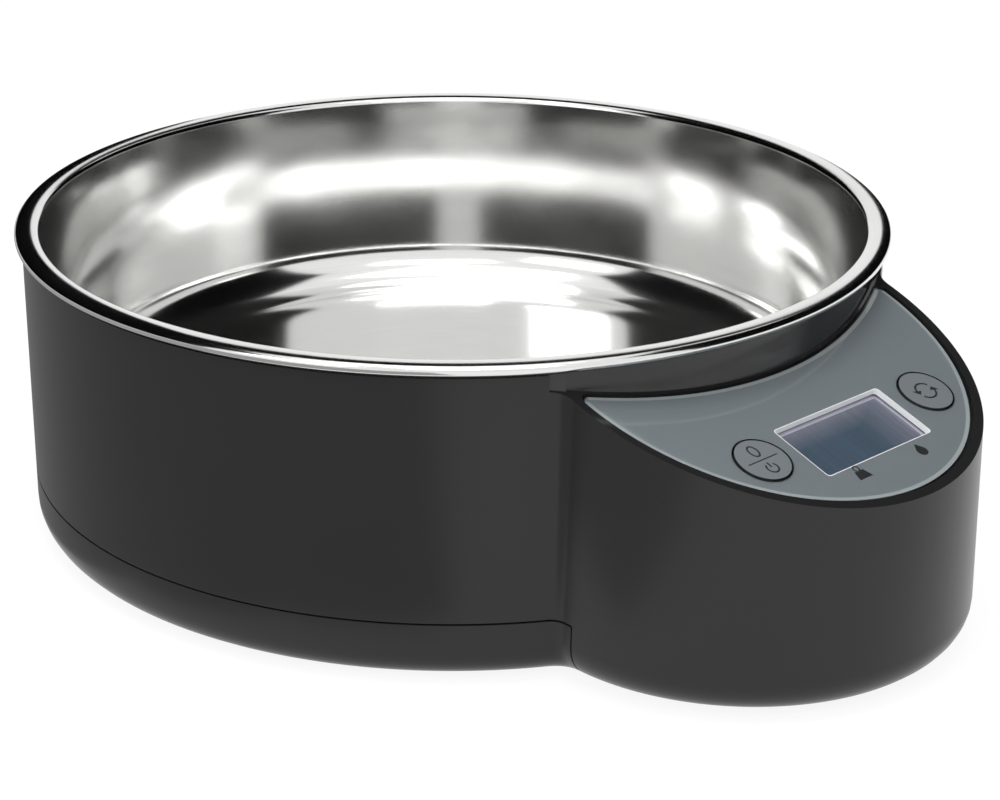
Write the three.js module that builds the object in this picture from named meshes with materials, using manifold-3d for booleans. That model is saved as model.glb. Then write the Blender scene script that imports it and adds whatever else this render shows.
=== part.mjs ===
// A weighing pet bowl: a polished steel bowl stands on a scale platform inside a round plastic body,
// and a half-round console on the front of the body holds the display, two keys and the batteries.
// Millimetres, +Z up, the console faces -Y and the part is symmetric about x = 0 outside.
import * as THREE from 'three';
import { mergeVertices } from 'three/addons/utils/BufferGeometryUtils.js';
import Module from 'manifold-3d';

const wasm = await Module();
wasm.setup();

// Driving sizes of the outside: the round body, the rim above it and the console in front
const bodyRadius = 105.8;
const rimHeight = 75.3;
const rimOverhang = 1.7;
const rimLift = 3.3;
const wall = 2.6;
const roundBottomRadius = 6.7;
const consoleRadius = 54.87;
const consoleSetBack = 10.65;
const consoleBottomRadius = 8.9;
const consoleDraftShare = 0.0167;
const notchRadius = 3.75;
const seamHeight = 14.05;
const seamGap = 0.4;
const panelDrop = 5.8;
const panelTilt = THREE.MathUtils.degToRad(19.48);

// What follows from them
const rimRadius = bodyRadius + rimOverhang;
const bodyHeight = rimHeight - rimLift;
const wellRadius = bodyRadius - wall;
const consoleOffset = bodyRadius - consoleSetBack;
const panelHeight = bodyHeight - panelDrop;

// Clearances shared by pieces that fit one another
const fit = 0.3;
const overrun = 20;
const weld = 0.0001;

// Counts and angles
const quarterTurn = Math.PI / 2;
const roundSteps = 48;
const consoleSteps = 30;
const notchSteps = 3;
const bottomSteps = 4;
const ringSegments = 60;
const discSegments = 20;
const screwSegments = 10;
const cornerSteps = 3;

// Closed geometry to solid and back, and the joins and cuts
function toSolid(shape) {
  if (!shape.isBufferGeometry) return shape;
  const bare = new THREE.BufferGeometry();
  bare.setAttribute('position', shape.getAttribute('position').clone());
  bare.setIndex(shape.index);
  const merged = mergeVertices(bare, weld);
  const corners = [];
  for (let i = 0; i < merged.index.count; i += 3) {
    const a = merged.index.getX(i);
    const b = merged.index.getX(i + 1);
    const c = merged.index.getX(i + 2);
    if (a !== b && b !== c && c !== a) corners.push(a, b, c);
  }
  return new wasm.Manifold(new wasm.Mesh({
    numProp: 3,
    vertProperties: new Float32Array(merged.getAttribute('position').array),
    triVerts: new Uint32Array(corners),
  }));
}

function toGeometry(shape) {
  const mesh = toSolid(shape).getMesh();
  const geometry = new THREE.BufferGeometry();
  geometry.setAttribute('position', new THREE.BufferAttribute(mesh.vertProperties, 3));
  geometry.setIndex(new THREE.BufferAttribute(mesh.triVerts, 1));
  geometry.computeVertexNormals();
  return geometry;
}

const join = (...shapes) => shapes.map(toSolid).reduce((whole, shape) => whole.add(shape));
const cut = (shape, ...tools) => tools.map(toSolid).reduce(
  (rest, tool) => rest.subtract(tool), toSolid(shape),
);
const common = (a, b) => toSolid(a).intersect(toSolid(b));

// Plain forms: an upright disc, a block, an upright prism and a turned form
function disc(radius, from, to, x = 0, y = 0, segments = discSegments) {
  const geometry = new THREE.CylinderGeometry(radius, radius, to - from, segments);
  return geometry.rotateX(quarterTurn).translate(x, y, (from + to) / 2);
}

function block(x0, x1, y0, y1, z0, z1) {
  const geometry = new THREE.BoxGeometry(x1 - x0, y1 - y0, z1 - z0);
  return geometry.translate((x0 + x1) / 2, (y0 + y1) / 2, (z0 + z1) / 2);
}

function prism(points, from, to, holes = []) {
  const shape = new THREE.Shape(points);
  shape.holes = holes.map((hole) => new THREE.Path(hole));
  const geometry = new THREE.ExtrudeGeometry(shape, { depth: to - from, bevelEnabled: false });
  return geometry.translate(0, 0, from);
}

function turned(profile, segments = ringSegments) {
  const points = profile.map(([radius, height]) => new THREE.Vector2(radius, height));
  return new THREE.LatheGeometry(points, segments).rotateX(quarterTurn);
}

// Points of an arc, without the last one, so that arcs can follow one another
function arc(x, y, radius, from, to, steps) {
  return Array.from({ length: steps }, (_, i) => {
    const angle = from + ((to - from) * i) / steps;
    return new THREE.Vector2(x + radius * Math.cos(angle), y + radius * Math.sin(angle));
  });
}

function circle(x, y, radius, segments = discSegments) {
  return arc(x, y, radius, 0, 2 * Math.PI, segments);
}

function roundedRectangle(halfWidth, halfHeight, radius, x = 0, y = 0) {
  const corners = [[1, -1], [1, 1], [-1, 1], [-1, -1]];
  return corners.flatMap(([sideX, sideY], quarter) => {
    const centreX = x + sideX * (halfWidth - radius);
    const centreY = y + sideY * (halfHeight - radius);
    const end = quarter * quarterTurn;
    return [
      ...arc(centreX, centreY, radius, end - quarterTurn, end, cornerSteps),
      new THREE.Vector2(centreX + radius * Math.cos(end), centreY + radius * Math.sin(end)),
    ];
  });
}

// Upright solid through rings of points that all have the same count
function loft(rings, heights) {
  const count = rings[0].length;
  const positions = rings.flatMap((ring, k) => ring.flatMap((point) => [point.x, point.y, heights[k]]));
  const faces = [];
  for (let k = 0; k + 1 < rings.length; k += 1) {
    for (let i = 0; i < count; i += 1) {
      const a = k * count + i;
      const b = k * count + ((i + 1) % count);
      faces.push(a, b, b + count, a, b + count, a + count);
    }
  }
  const top = (rings.length - 1) * count;
  for (const [a, b, c] of THREE.ShapeUtils.triangulateShape(rings[0], [])) faces.push(c, b, a);
  for (const [a, b, c] of THREE.ShapeUtils.triangulateShape(rings.at(-1), [])) {
    faces.push(top + a, top + b, top + c);
  }
  const geometry = new THREE.BufferGeometry();
  geometry.setAttribute('position', new THREE.Float32BufferAttribute(positions, 3));
  geometry.setIndex(faces);
  return geometry;
}

// Plan of the body: the round part and the console, blended by a small radius in the two notches
function bodyPlan(round, front, notch) {
  const y = -(consoleOffset ** 2 + (round + notch) ** 2 - (front + notch) ** 2) / (2 * consoleOffset);
  const x = Math.sqrt((round + notch) ** 2 - y ** 2);
  const roundAngle = Math.atan2(y, x);
  const consoleAngle = Math.atan2(y + consoleOffset, x);
  return [
    ...arc(0, 0, round, roundAngle, Math.PI - roundAngle, roundSteps),
    ...arc(-x, y, notch, -roundAngle, -consoleAngle, notchSteps),
    ...arc(0, -consoleOffset, front, Math.PI - consoleAngle, 2 * Math.PI + consoleAngle, consoleSteps),
    ...arc(x, y, notch, Math.PI + consoleAngle, Math.PI + roundAngle, notchSteps),
  ];
}

// How far a rounded bottom edge draws in at a height above the bottom
function bottomDrawIn(rise, radius) {
  return rise < radius ? radius - Math.sqrt(radius ** 2 - (radius - rise) ** 2) : 0;
}

// The body's outer form, or its inner form when it is drawn in by a wall
function bodyForm(inset, bottom, top) {
  const consoleCurve = consoleBottomRadius - inset;
  const roundCurve = roundBottomRadius - inset;
  const rises = Array.from(
    { length: bottomSteps + 1 },
    (_, i) => consoleCurve * (1 - Math.cos((quarterTurn * i) / bottomSteps)),
  );
  rises.push(top - bottom);
  const rings = rises.map((rise) => {
    const roundInset = inset + bottomDrawIn(rise, roundCurve);
    const consoleInset = inset + bottomDrawIn(rise, consoleCurve) + consoleDraftShare * (bottom + rise);
    return bodyPlan(
      bodyRadius - roundInset,
      consoleRadius - consoleInset,
      notchRadius + (roundInset + consoleInset) / 2,
    );
  });
  return loft(rings, rises.map((rise) => bottom + rise));
}

// The panel's own frame: its origin lies over the console's axis, +Z is square to the sloping top
const panelFrame = new THREE.Group();
panelFrame.position.set(0, -consoleOffset, panelHeight);
panelFrame.rotation.x = panelTilt;
panelFrame.updateMatrix();
const onBody = (shape) => toGeometry(shape).applyMatrix4(panelFrame.matrix);
const panelPoint = (x, y, depth) => new THREE.Vector3(x, y, -depth).applyMatrix4(panelFrame.matrix);
const onSlope = (points) => points.map(
  (point) => new THREE.Vector2(point.x, (point.y + consoleOffset) / Math.cos(panelTilt)),
);

// Materials
function finish(color, roughness, metalness = 0, more = {}) {
  return new THREE.MeshStandardMaterial({ color, roughness, metalness, ...more });
}
const polishedSteel = finish(0xd9dcdf, 0.12, 1);
const satinPlastic = finish(0x2e2f31, 0.42);
const greyPlastic = finish(0x6d7579, 0.35);
const whitePlastic = finish(0xf0f1f2, 0.5);
const platformPlastic = finish(0x26272a, 0.55);
const clearLens = finish(0xe8eef0, 0.04, 0, { transparent: true, opacity: 0.25 });
const displayGlass = finish(0x8d9bad, 0.1);
const backlightPlastic = finish(0xe6e9ee, 0.4);
const rubber = finish(0x1c1c1d, 0.9);
const aluminium = finish(0xb9bcc0, 0.35, 1);
const zincSteel = finish(0xa9adb2, 0.35, 1);
const boardGreen = finish(0x1f5a3a, 0.5);
const chipBlack = finish(0x17181a, 0.6);
const socketWhite = finish(0xe9e6da, 0.5);
const cellSleeve = finish(0x2f5f8f, 0.35);
const redWire = finish(0xb32a25, 0.45);
const blackWire = finish(0x151515, 0.45);
const greyCable = finish(0x8b8d90, 0.5);

// The part stands on its feet, centred over its own footprint
const footRadius = 6.5;
const footThickness = 1.8;
const footRecess = 0.8;
const consoleReach = consoleOffset + consoleRadius - consoleDraftShare * consoleBottomRadius;
const body = new THREE.Group();
body.position.set(0, (consoleReach - rimRadius) / 2, footThickness - footRecess);
body.add(panelFrame);

function add(parent, name, shape, material) {
  const mesh = new THREE.Mesh(toGeometry(shape), material);
  mesh.name = name;
  parent.add(mesh);
  return mesh;
}

// A pan-head screw that stands on its head, with its shank upwards from the seat
const headCrownShare = 0.75;
function screw(headRadius, headHeight, shankRadius, length) {
  return turned([
    [0, -headHeight],
    [headRadius * headCrownShare, -headHeight],
    [headRadius, -headHeight / 2],
    [headRadius, 0],
    [shankRadius, 0],
    [shankRadius, length - shankRadius],
    [shankRadius / 2, length],
    [0, length],
  ], screwSegments);
}

// Batteries and their box set the height of the deck that the platform works over
const cellRadius = 5.25;
const cellLength = 44.5;
const nubRadius = 1.9;
const nubHeight = 1.2;
const doorThickness = 2;
const doorToCell = 0.4;
const boxWall = 1.6;
const boxCeiling = 1.4;
const boxOffset = 16.85;
const contactThickness = 0.5;
const springLength = 5.3;
const cellPitch = 11.6;
const boxCentre = consoleOffset + boxOffset;
const contactFace = (cellLength + springLength) / 2 + fit;
const boxHalfLength = contactFace + contactThickness + fit;
const boxHalfWidth = cellPitch / 2 + cellRadius + fit;
const cellHeight = doorThickness + doorToCell + cellRadius;
const boxInnerTop = cellHeight + cellRadius + fit;
const boxTop = boxInnerTop + boxCeiling;

// Heights of the deck, the platform and the bowl's floor
const deckClearance = 0.6;
const deckThickness = 2;
const platformClearance = 1.2;
const platformThickness = 2.5;
const padHeight = 0.8;
const deckBottom = boxTop + deckClearance;
const deckTop = deckBottom + deckThickness;
const platformBottom = deckTop + platformClearance;
const platformTop = platformBottom + platformThickness;
const bowlBottom = platformTop + padHeight;

// Steel bowl: one drawn sheet with a corner at the floor and a rolled, flattened rim
const sheet = 0.7;
const bowlCorner = 12;
const bowlGap = 1.35;
const bowlLean = 2.9;
const bowlNeckRadius = wellRadius - bowlGap;
const curlRadius = 0.9;
const curlReturn = 2.1;
const curlCrown = 0.12;
const curlSteps = 4;

function sheetCentreLine() {
  const cornerY = bowlBottom + bowlCorner;
  const curlY = rimHeight - sheet / 2 - curlRadius;
  const cornerLine = bowlCorner - sheet / 2;
  const cornerX = bowlNeckRadius - bowlLean - cornerLine;
  const outerX = rimRadius - sheet / 2 - curlRadius;
  return [
    new THREE.Vector2(0, bowlBottom + sheet / 2),
    ...arc(cornerX, cornerY, cornerLine, -quarterTurn, 0, curlSteps),
    new THREE.Vector2(cornerX + cornerLine, cornerY),
    ...arc(bowlNeckRadius + curlRadius, curlY - curlCrown, curlRadius, Math.PI, quarterTurn, curlSteps - 1),
    new THREE.Vector2((bowlNeckRadius + outerX) / 2 + curlRadius / 2, rimHeight - sheet / 2),
    ...arc(outerX, curlY - curlCrown / 2, curlRadius, quarterTurn, -quarterTurn, curlSteps),
    new THREE.Vector2(outerX, curlY - curlRadius),
    new THREE.Vector2(outerX - curlReturn, curlY - curlRadius),
  ];
}

// Both faces of a sheet that follows a centre line, as one closed profile from axis to axis
function sheetProfile(line, thickness) {
  const sides = line.map((point, i) => {
    const before = line[Math.max(i - 1, 0)];
    const after = line[Math.min(i + 1, line.length - 1)];
    const along = after.clone().sub(before).normalize();
    const right = new THREE.Vector2(along.y, -along.x).multiplyScalar(i === 0 ? 0 : thickness / 2);
    return { outside: point.clone().add(right), inside: point.clone().sub(right) };
  });
  sides[0].outside.y -= thickness / 2;
  sides[0].inside.y += thickness / 2;
  return [
    ...sides.map((side) => [side.outside.x, side.outside.y]),
    ...sides.map((side) => [side.inside.x, side.inside.y]).reverse(),
  ];
}

add(body, 'steel_bowl', turned(sheetProfile(sheetCentreLine(), sheet)), polishedSteel);

// Load cell: an aluminium bar, screwed to the base at one end and to the platform at the other
const loadCellLength = 75;
const loadCellWidth = 12;
const loadCellHeight = 8;
const loadCellLift = 2;
const loadCellHoleInset = 6;
const loadCellHolePitch = 12;
const loadCellSlotHeight = 1.2;
const gaugeHoleRadius = 2.9;
const gaugeHolePitch = 13;
const cellScrewHead = 3.4;
const cellScrewHeadHeight = 2;
const cellScrewShank = 1.9;
const cellScrewGrip = 6;
const loadCellBottom = wall + loadCellLift;
const loadCellTop = loadCellBottom + loadCellHeight;
const loadCellEnd = loadCellLength / 2;
const fixedHoles = [0, 1].map((i) => -loadCellEnd + loadCellHoleInset + i * loadCellHolePitch);
const freeHoles = fixedHoles.map((x) => -x);
const hubMargin = 5;
const hubRadius = 2;
const hubHalfLength = (loadCellHolePitch + 2 * hubMargin) / 2;
const hubHalfWidth = loadCellWidth / 2;
const hubCentre = (freeHoles[0] + freeHoles[1]) / 2;

// The bar's waist: two round holes joined by a slot, so that it bends as a parallelogram
function waistCutter() {
  const middle = (loadCellBottom + loadCellTop) / 2;
  const holes = [-1, 1].map((side) => new THREE.CylinderGeometry(
    gaugeHoleRadius, gaugeHoleRadius, loadCellWidth + overrun, discSegments / 2,
  ).translate((side * gaugeHolePitch) / 2, 0, middle));
  const slot = block(
    -gaugeHolePitch / 2, gaugeHolePitch / 2, -loadCellWidth, loadCellWidth,
    middle - loadCellSlotHeight / 2, middle + loadCellSlotHeight / 2,
  );
  return join(slot, ...holes);
}

function loadCell() {
  const bar = block(
    -loadCellEnd, loadCellEnd, -loadCellWidth / 2, loadCellWidth / 2, loadCellBottom, loadCellTop,
  );
  const holes = [...fixedHoles, ...freeHoles].map(
    (x) => disc(cellScrewShank + fit, loadCellBottom - overrun, loadCellTop + overrun, x, 0, screwSegments),
  );
  return cut(bar, waistCutter(), ...holes);
}
add(body, 'load_cell', loadCell(), aluminium);

// White sealing compound over the strain gauges on the bar's waist
const gaugeCoatGap = 4.5;
const gaugeCoatWidth = 9;
const gaugeCoatHeight = 0.9;
const gaugeCoatRadius = 2;
const gaugeCoatHalfLength = hubCentre - hubHalfLength - gaugeCoatGap;
add(body, 'strain_gauge_coating', prism(
  roundedRectangle(gaugeCoatHalfLength, gaugeCoatWidth / 2, gaugeCoatRadius),
  loadCellTop, loadCellTop + gaugeCoatHeight,
), whitePlastic);

// Weighing platform: a ribbed disc with a locating lip for the bowl and a hub on the load cell
const lipGap = 2.95;
const lipWidth = 2.5;
const lipHeight = 2;
const lipInner = bowlNeckRadius - bowlLean - lipGap;
const platformRadius = lipInner + lipWidth;
const ribWidth = 1.6;
const ribDepth = 0.5;
const ribCount = 8;
const padRadius = 6;
const padInset = 26;
const padCount = 3;
const padOrbit = lipInner - padInset;

function platform() {
  const plate = turned([
    [0, platformBottom],
    [platformRadius, platformBottom],
    [platformRadius, bowlBottom + lipHeight],
    [lipInner, bowlBottom + lipHeight],
    [lipInner, platformTop],
    [0, platformTop],
  ]);
  const ribs = Array.from({ length: ribCount / 2 }, (_, i) => block(
    -lipInner, lipInner, -ribWidth / 2, ribWidth / 2, platformBottom - ribDepth, platformBottom + ribDepth,
  ).rotateZ((Math.PI * (i + 1 / 2)) / (ribCount / 2)));
  const hub = prism(
    roundedRectangle(hubHalfLength, hubHalfWidth, hubRadius, hubCentre), loadCellTop, platformTop,
  );
  const recesses = freeHoles.map((x) => disc(
    cellScrewHead + fit, platformTop - cellScrewHeadHeight - fit, platformTop + overrun, x, 0,
  ));
  const holes = freeHoles.map(
    (x) => disc(cellScrewShank + fit, loadCellTop - overrun, platformTop + overrun, x, 0, screwSegments),
  );
  return cut(join(plate, hub, ...ribs), ...recesses, ...holes);
}
add(body, 'weighing_platform', platform(), platformPlastic);

for (let i = 0; i < padCount; i += 1) {
  const angle = quarterTurn + (2 * Math.PI * i) / padCount;
  const x = padOrbit * Math.cos(angle);
  const y = padOrbit * Math.sin(angle);
  add(body, `platform_pad_${i + 1}`, disc(padRadius, platformTop, bowlBottom, x, y), rubber);
}

const hubScrewSeat = platformTop - cellScrewHeadHeight - fit;
const hubScrewLength = hubScrewSeat - loadCellTop + cellScrewGrip;
freeHoles.forEach((x, i) => {
  const shape = screw(cellScrewHead, cellScrewHeadHeight, cellScrewShank, hubScrewLength);
  const piece = add(body, `load_cell_hub_screw_${i + 1}`, shape, zincSteel);
  piece.rotation.x = Math.PI;
  piece.position.set(x, 0, hubScrewSeat);
});

const baseScrewSeat = cellScrewHeadHeight + fit;
const baseScrewLength = loadCellBottom - baseScrewSeat + cellScrewGrip;
fixedHoles.forEach((x, i) => {
  const shape = screw(cellScrewHead, cellScrewHeadHeight, cellScrewShank, baseScrewLength);
  add(body, `load_cell_base_screw_${i + 1}`, shape, zincSteel).position.set(x, 0, baseScrewSeat);
});

// Screws that join the base to the housing: four in the round part and two in the console
const screwHead = 3;
const screwHeadHeight = 2.2;
const screwShank = 1.5;
const screwLength = 10;
const screwRecess = 1.2;
const bossRadius = 5;
const pillarRadius = 4.2;
const bossTop = 6.6;
const roundBossInset = 14.8;
const roundBossAngles = [-8, 66, 114, 188].map(THREE.MathUtils.degToRad);
const consoleBossX = 34.5;
const consoleBossReach = 19.85;
const consolePillarDrop = 36.2;
const pillarRib = 1.6;
const roundBossOrbit = bodyRadius - roundBossInset;
const consoleBossY = -consoleOffset - consoleBossReach;
const consolePillarTop = panelHeight - consolePillarDrop;
const screwSeat = screwRecess + screwHeadHeight;
const roundBosses = roundBossAngles.map((angle) => new THREE.Vector2(
  roundBossOrbit * Math.cos(angle), roundBossOrbit * Math.sin(angle),
));
const consoleBosses = [-1, 1].map((side) => new THREE.Vector2(side * consoleBossX, consoleBossY));
const bosses = [...roundBosses, ...consoleBosses];
bosses.forEach(({ x, y }, i) => {
  const shape = screw(screwHead, screwHeadHeight, screwShank, screwLength);
  add(body, `housing_screw_${i + 1}`, shape, zincSteel).position.set(x, y, screwSeat);
});

// Panel outline on the sloping top: the console's arc outside and the round wall's arc behind
const bandStep = 0.7;
const bandDepth = 1.4;
const panelInset = 3.37;
const panelBackGap = 0.9;
const panelTipRadius = 2;
const bandRadius = bodyRadius - bandDepth;
const panelRadius = consoleRadius - panelInset;
const panelBackRadius = bandRadius + panelBackGap;
const panelArcSteps = 28;
const panelBackSteps = 12;

function panelOutline(inset) {
  const tip = Math.max(panelTipRadius - inset, fit);
  const outer = panelRadius - inset;
  const back = panelBackRadius + inset;
  const y = -(consoleOffset ** 2 + (back + tip) ** 2 - (outer - tip) ** 2) / (2 * consoleOffset);
  const x = Math.sqrt((back + tip) ** 2 - y ** 2);
  const tipAngle = Math.atan2(y + consoleOffset, x);
  const backAngle = Math.atan2(y, x);
  return onSlope([
    ...arc(0, -consoleOffset, outer, Math.PI - tipAngle, 2 * Math.PI + tipAngle, panelArcSteps),
    ...arc(x, y, tip, tipAngle, Math.PI + backAngle, cornerSteps),
    ...arc(0, 0, back, backAngle, -Math.PI - backAngle, panelBackSteps),
    ...arc(-x, y, tip, -backAngle, Math.PI - tipAngle, cornerSteps),
  ]);
}

// Depths below the sloping top, from the lens down to the circuit board
const lensSink = 0.1;
const lensThickness = 0.4;
const filmThickness = 0.2;
const topPlate = 2;
const lensBottom = lensSink + lensThickness;
const filmTop = lensBottom + fit;
const filmBottom = filmTop + filmThickness;
const pocketFloor = filmBottom + fit;
const plateBottom = pocketFloor + topPlate;
const windowDepth = 0.5;
const displayThickness = 2.8;
const backlightThickness = 2.7;
const displayTop = pocketFloor + windowDepth + fit;
const displayBottom = displayTop + displayThickness;
const backlightTop = displayBottom + fit;
const backlightBottom = backlightTop + backlightThickness;
const boardThickness = 1.6;
const boardTop = backlightBottom + fit;
const boardBottom = boardTop + boardThickness;

// Sizes and places on the panel, measured from the console's axis along the slope
const keyRadius = 6.45;
const keyGap = 0.4;
const keyTravel = 0.4;
const keyFlange = 0.5;
const keyFlangeThickness = 0.7;
const keyStemRadius = 2.2;
const keyStemLength = 0.5;
const windowHalfWidth = 18.05;
const windowHalfHeight = 8.55;
const windowCorner = 1;
const windowEdge = 5.39;
const keyEdge = 10.34;
const keySpacing = 1.1;
const holderWall = 1.8;
const holderHalfWidth = windowHalfWidth + holderWall;
const holderHalfHeight = windowHalfHeight + holderWall;

// How far down the slope a point lies that is set off from the panel's round edge
function slopeY(x, edge) {
  return -Math.sqrt((panelRadius - edge) ** 2 - x ** 2) / Math.cos(panelTilt);
}
const windowY = slopeY(holderHalfWidth, windowEdge) + holderHalfHeight;
const keyX = holderHalfWidth + keySpacing + keyRadius + keyGap + keyFlange;
const keyY = slopeY(keyX, keyEdge);
const keySides = { tare: -1, mode: 1 };

// Display holder: a white tray with the window's rim, which the top plate's hole takes
const holderWingWidth = 2;
const holderWingThickness = 1.2;
const displayLap = 0.7;
const displayHalfWidth = windowHalfWidth + displayLap;
const displayHalfHeight = windowHalfHeight + displayLap;
const zebraWidth = 2.2;
const zebraEndGap = 2;

function displayHolder() {
  const sleeve = prism(
    roundedRectangle(holderHalfWidth, holderHalfHeight, windowCorner, 0, windowY),
    -backlightBottom, -pocketFloor,
  );
  const wings = prism(
    roundedRectangle(holderHalfWidth, holderHalfHeight + holderWingWidth, windowCorner, 0, windowY),
    -plateBottom - fit - holderWingThickness, -plateBottom - fit,
  );
  const window = prism(
    roundedRectangle(windowHalfWidth, windowHalfHeight, windowCorner, 0, windowY),
    -backlightBottom - overrun, overrun,
  );
  const pocket = prism(
    roundedRectangle(displayHalfWidth + fit, displayHalfHeight + fit, windowCorner / 2, 0, windowY),
    -backlightBottom - overrun, -displayTop + fit,
  );
  return cut(join(sleeve, wings), window, pocket);
}
add(panelFrame, 'display_holder', displayHolder(), whitePlastic);

add(panelFrame, 'display_glass', prism(
  roundedRectangle(displayHalfWidth, displayHalfHeight, windowCorner / 2, 0, windowY),
  -displayBottom, -displayTop,
), displayGlass);

const backlightHalfHeight = displayHalfHeight - zebraWidth / 2 - fit / 2;
const backlightY = windowY + displayHalfHeight - backlightHalfHeight;
add(panelFrame, 'display_backlight', block(
  -displayHalfWidth, displayHalfWidth, backlightY - backlightHalfHeight, backlightY + backlightHalfHeight,
  -backlightBottom, -backlightTop,
), backlightPlastic);

// Rubber contact strip between the display's edge and the board
add(panelFrame, 'display_contact_strip', block(
  -displayHalfWidth + zebraEndGap, displayHalfWidth - zebraEndGap,
  windowY - displayHalfHeight, windowY - displayHalfHeight + zebraWidth,
  -backlightBottom, -backlightTop,
), rubber);

// Panel: a clear lens over a printed film, both with holes for the keys
const filmInset = 0.4;
const keyHoles = Object.values(keySides).map((side) => circle(side * keyX, keyY, keyRadius + keyGap));
const windowHole = roundedRectangle(windowHalfWidth, windowHalfHeight, windowCorner, 0, windowY);
add(panelFrame, 'panel_lens', prism(panelOutline(0), -lensBottom, -lensSink, keyHoles), clearLens);
add(panelFrame, 'panel_print_film', prism(
  panelOutline(filmInset), -filmBottom, -filmTop, [...keyHoles, windowHole],
), greyPlastic);

// Keys: a cap flush with the lens, a flange that holds it under the top plate, and a stem
const switchSize = 6;
const switchPlungerRadius = 1.5;
const plungerBore = 0.8;
const flangeTop = plateBottom + fit;
const flangeBottom = flangeTop + keyFlangeThickness;
const stemBottom = flangeBottom + keyStemLength;
const plungerTop = stemBottom + fit;
const switchTop = plungerTop + keyTravel * 2;
const switchBottom = boardTop - fit;
const plungerBottom = switchTop + plungerBore;

for (const [name, side] of Object.entries(keySides)) {
  const x = side * keyX;
  const key = join(
    disc(keyRadius, -flangeTop, -lensSink, x, keyY),
    disc(keyRadius + keyGap + keyFlange, -flangeBottom, -flangeTop, x, keyY),
    disc(keyStemRadius, -stemBottom, -flangeTop, x, keyY, screwSegments),
  );
  add(panelFrame, `${name}_key`, key, greyPlastic);
  add(panelFrame, `${name}_switch_plunger`, disc(
    switchPlungerRadius, -plungerBottom, -plungerTop, x, keyY, screwSegments,
  ), chipBlack);
  const switchBody = cut(
    block(
      x - switchSize / 2, x + switchSize / 2, keyY - switchSize / 2, keyY + switchSize / 2,
      -switchBottom, -switchTop,
    ),
    disc(switchPlungerRadius + fit, -plungerBottom - keyTravel - fit, overrun, x, keyY, screwSegments),
  );
  add(panelFrame, `${name}_switch`, switchBody, chipBlack);
}

// Circuit board under the display, hung from four pillars of the top plate
const boardSide = 4.7;
const boardBack = 16.4;
const boardFront = 10.1;
const boardChamfer = 4.5;
const boardScrewHead = 2;
const boardScrewHeadHeight = 1.2;
const boardScrewShank = 1;
const boardScrewLength = 5;
const boardPillarRadius = 2.2;
const backBossInsetX = 3.5;
const backBossInsetY = 2.8;
const frontBossInsetX = 7.4;
const frontBossInsetY = 2.6;
const boardHalfWidth = keyX + boardSide;
const boardBackY = windowY + boardBack;
const boardFrontY = windowY - boardFront;
const boardBosses = [
  new THREE.Vector2(boardHalfWidth - backBossInsetX, boardBackY - backBossInsetY),
  new THREE.Vector2(boardHalfWidth - frontBossInsetX, boardFrontY + frontBossInsetY),
].flatMap(({ x, y }) => [new THREE.Vector2(-x, y), new THREE.Vector2(x, y)]);
const chipSize = 12;
const chipHeight = 1.4;
const chipRise = 2.9;
const chipY = windowY + chipRise;
const socketHeight = 4.5;
const socketDepth = 4.5;
const socketInset = 4.5;
const socketY = boardBackY - socketInset;
const socketTop = boardBottom + fit;
const socketBottom = socketTop + socketHeight;
const cellSocketX = -14;
const cellSocketWidth = 10;
const batterySocketX = 16;
const batterySocketWidth = 6;

const boardOutline = [
  new THREE.Vector2(-boardHalfWidth, boardBackY),
  new THREE.Vector2(-boardHalfWidth, boardFrontY + boardChamfer),
  new THREE.Vector2(-boardHalfWidth + boardChamfer, boardFrontY),
  new THREE.Vector2(boardHalfWidth - boardChamfer, boardFrontY),
  new THREE.Vector2(boardHalfWidth, boardFrontY + boardChamfer),
  new THREE.Vector2(boardHalfWidth, boardBackY),
];
const boardHoles = boardBosses.map(({ x, y }) => circle(x, y, boardScrewShank + fit, screwSegments));
add(panelFrame, 'main_circuit_board', prism(boardOutline, -boardBottom, -boardTop, boardHoles), boardGreen);
add(panelFrame, 'controller_chip', block(
  -chipSize / 2, chipSize / 2, chipY - chipSize / 2, chipY + chipSize / 2,
  -boardBottom - fit - chipHeight, -boardBottom - fit,
), chipBlack);

function socket(x, width) {
  return block(
    x - width / 2, x + width / 2, socketY - socketDepth / 2, socketY + socketDepth / 2,
    -socketBottom, -socketTop,
  );
}
add(panelFrame, 'load_cell_socket', socket(cellSocketX, cellSocketWidth), socketWhite);
add(panelFrame, 'battery_socket', socket(batterySocketX, batterySocketWidth), socketWhite);

boardBosses.forEach(({ x, y }, i) => {
  const shape = screw(boardScrewHead, boardScrewHeadHeight, boardScrewShank, boardScrewLength);
  add(panelFrame, `board_screw_${i + 1}`, shape, zincSteel).position.set(x, y, -boardBottom - fit);
});

// Housing: the round wall, the deck under the platform, and the console with its sloping top
const bandHalfAngle = THREE.MathUtils.degToRad(32.4);
const stepHalfAngle = THREE.MathUtils.degToRad(30.3);
const tongueThickness = 1.2;
const tongueDepth = 3;
const tongueSide = 40;
const hubHoleGap = 1.5;
const far = 2 * (consoleOffset + consoleRadius);
const outerForm = toSolid(bodyForm(0, 0, bodyHeight));
const innerForm = toSolid(bodyForm(wall, wall, bodyHeight + overrun));

function abovePanel(depth) {
  return onBody(block(-far, far, -far, far, -depth, far));
}

// What is taken away over the console within an angle: it leaves the band of the round wall, set back
function consoleTopCutter(halfAngle, radius) {
  const wedge = prism([
    new THREE.Vector2(0, 0),
    new THREE.Vector2(-far * Math.tan(halfAngle), -far),
    new THREE.Vector2(far * Math.tan(halfAngle), -far),
  ], 0, far);
  return cut(common(abovePanel(0), wedge), disc(radius, -overrun, far, 0, 0, ringSegments));
}

function consoleHollow() {
  const roundWall = disc(bodyRadius, deckBottom, far, 0, 0, ringSegments);
  return cut(innerForm, abovePanel(plateBottom), roundWall);
}

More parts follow.
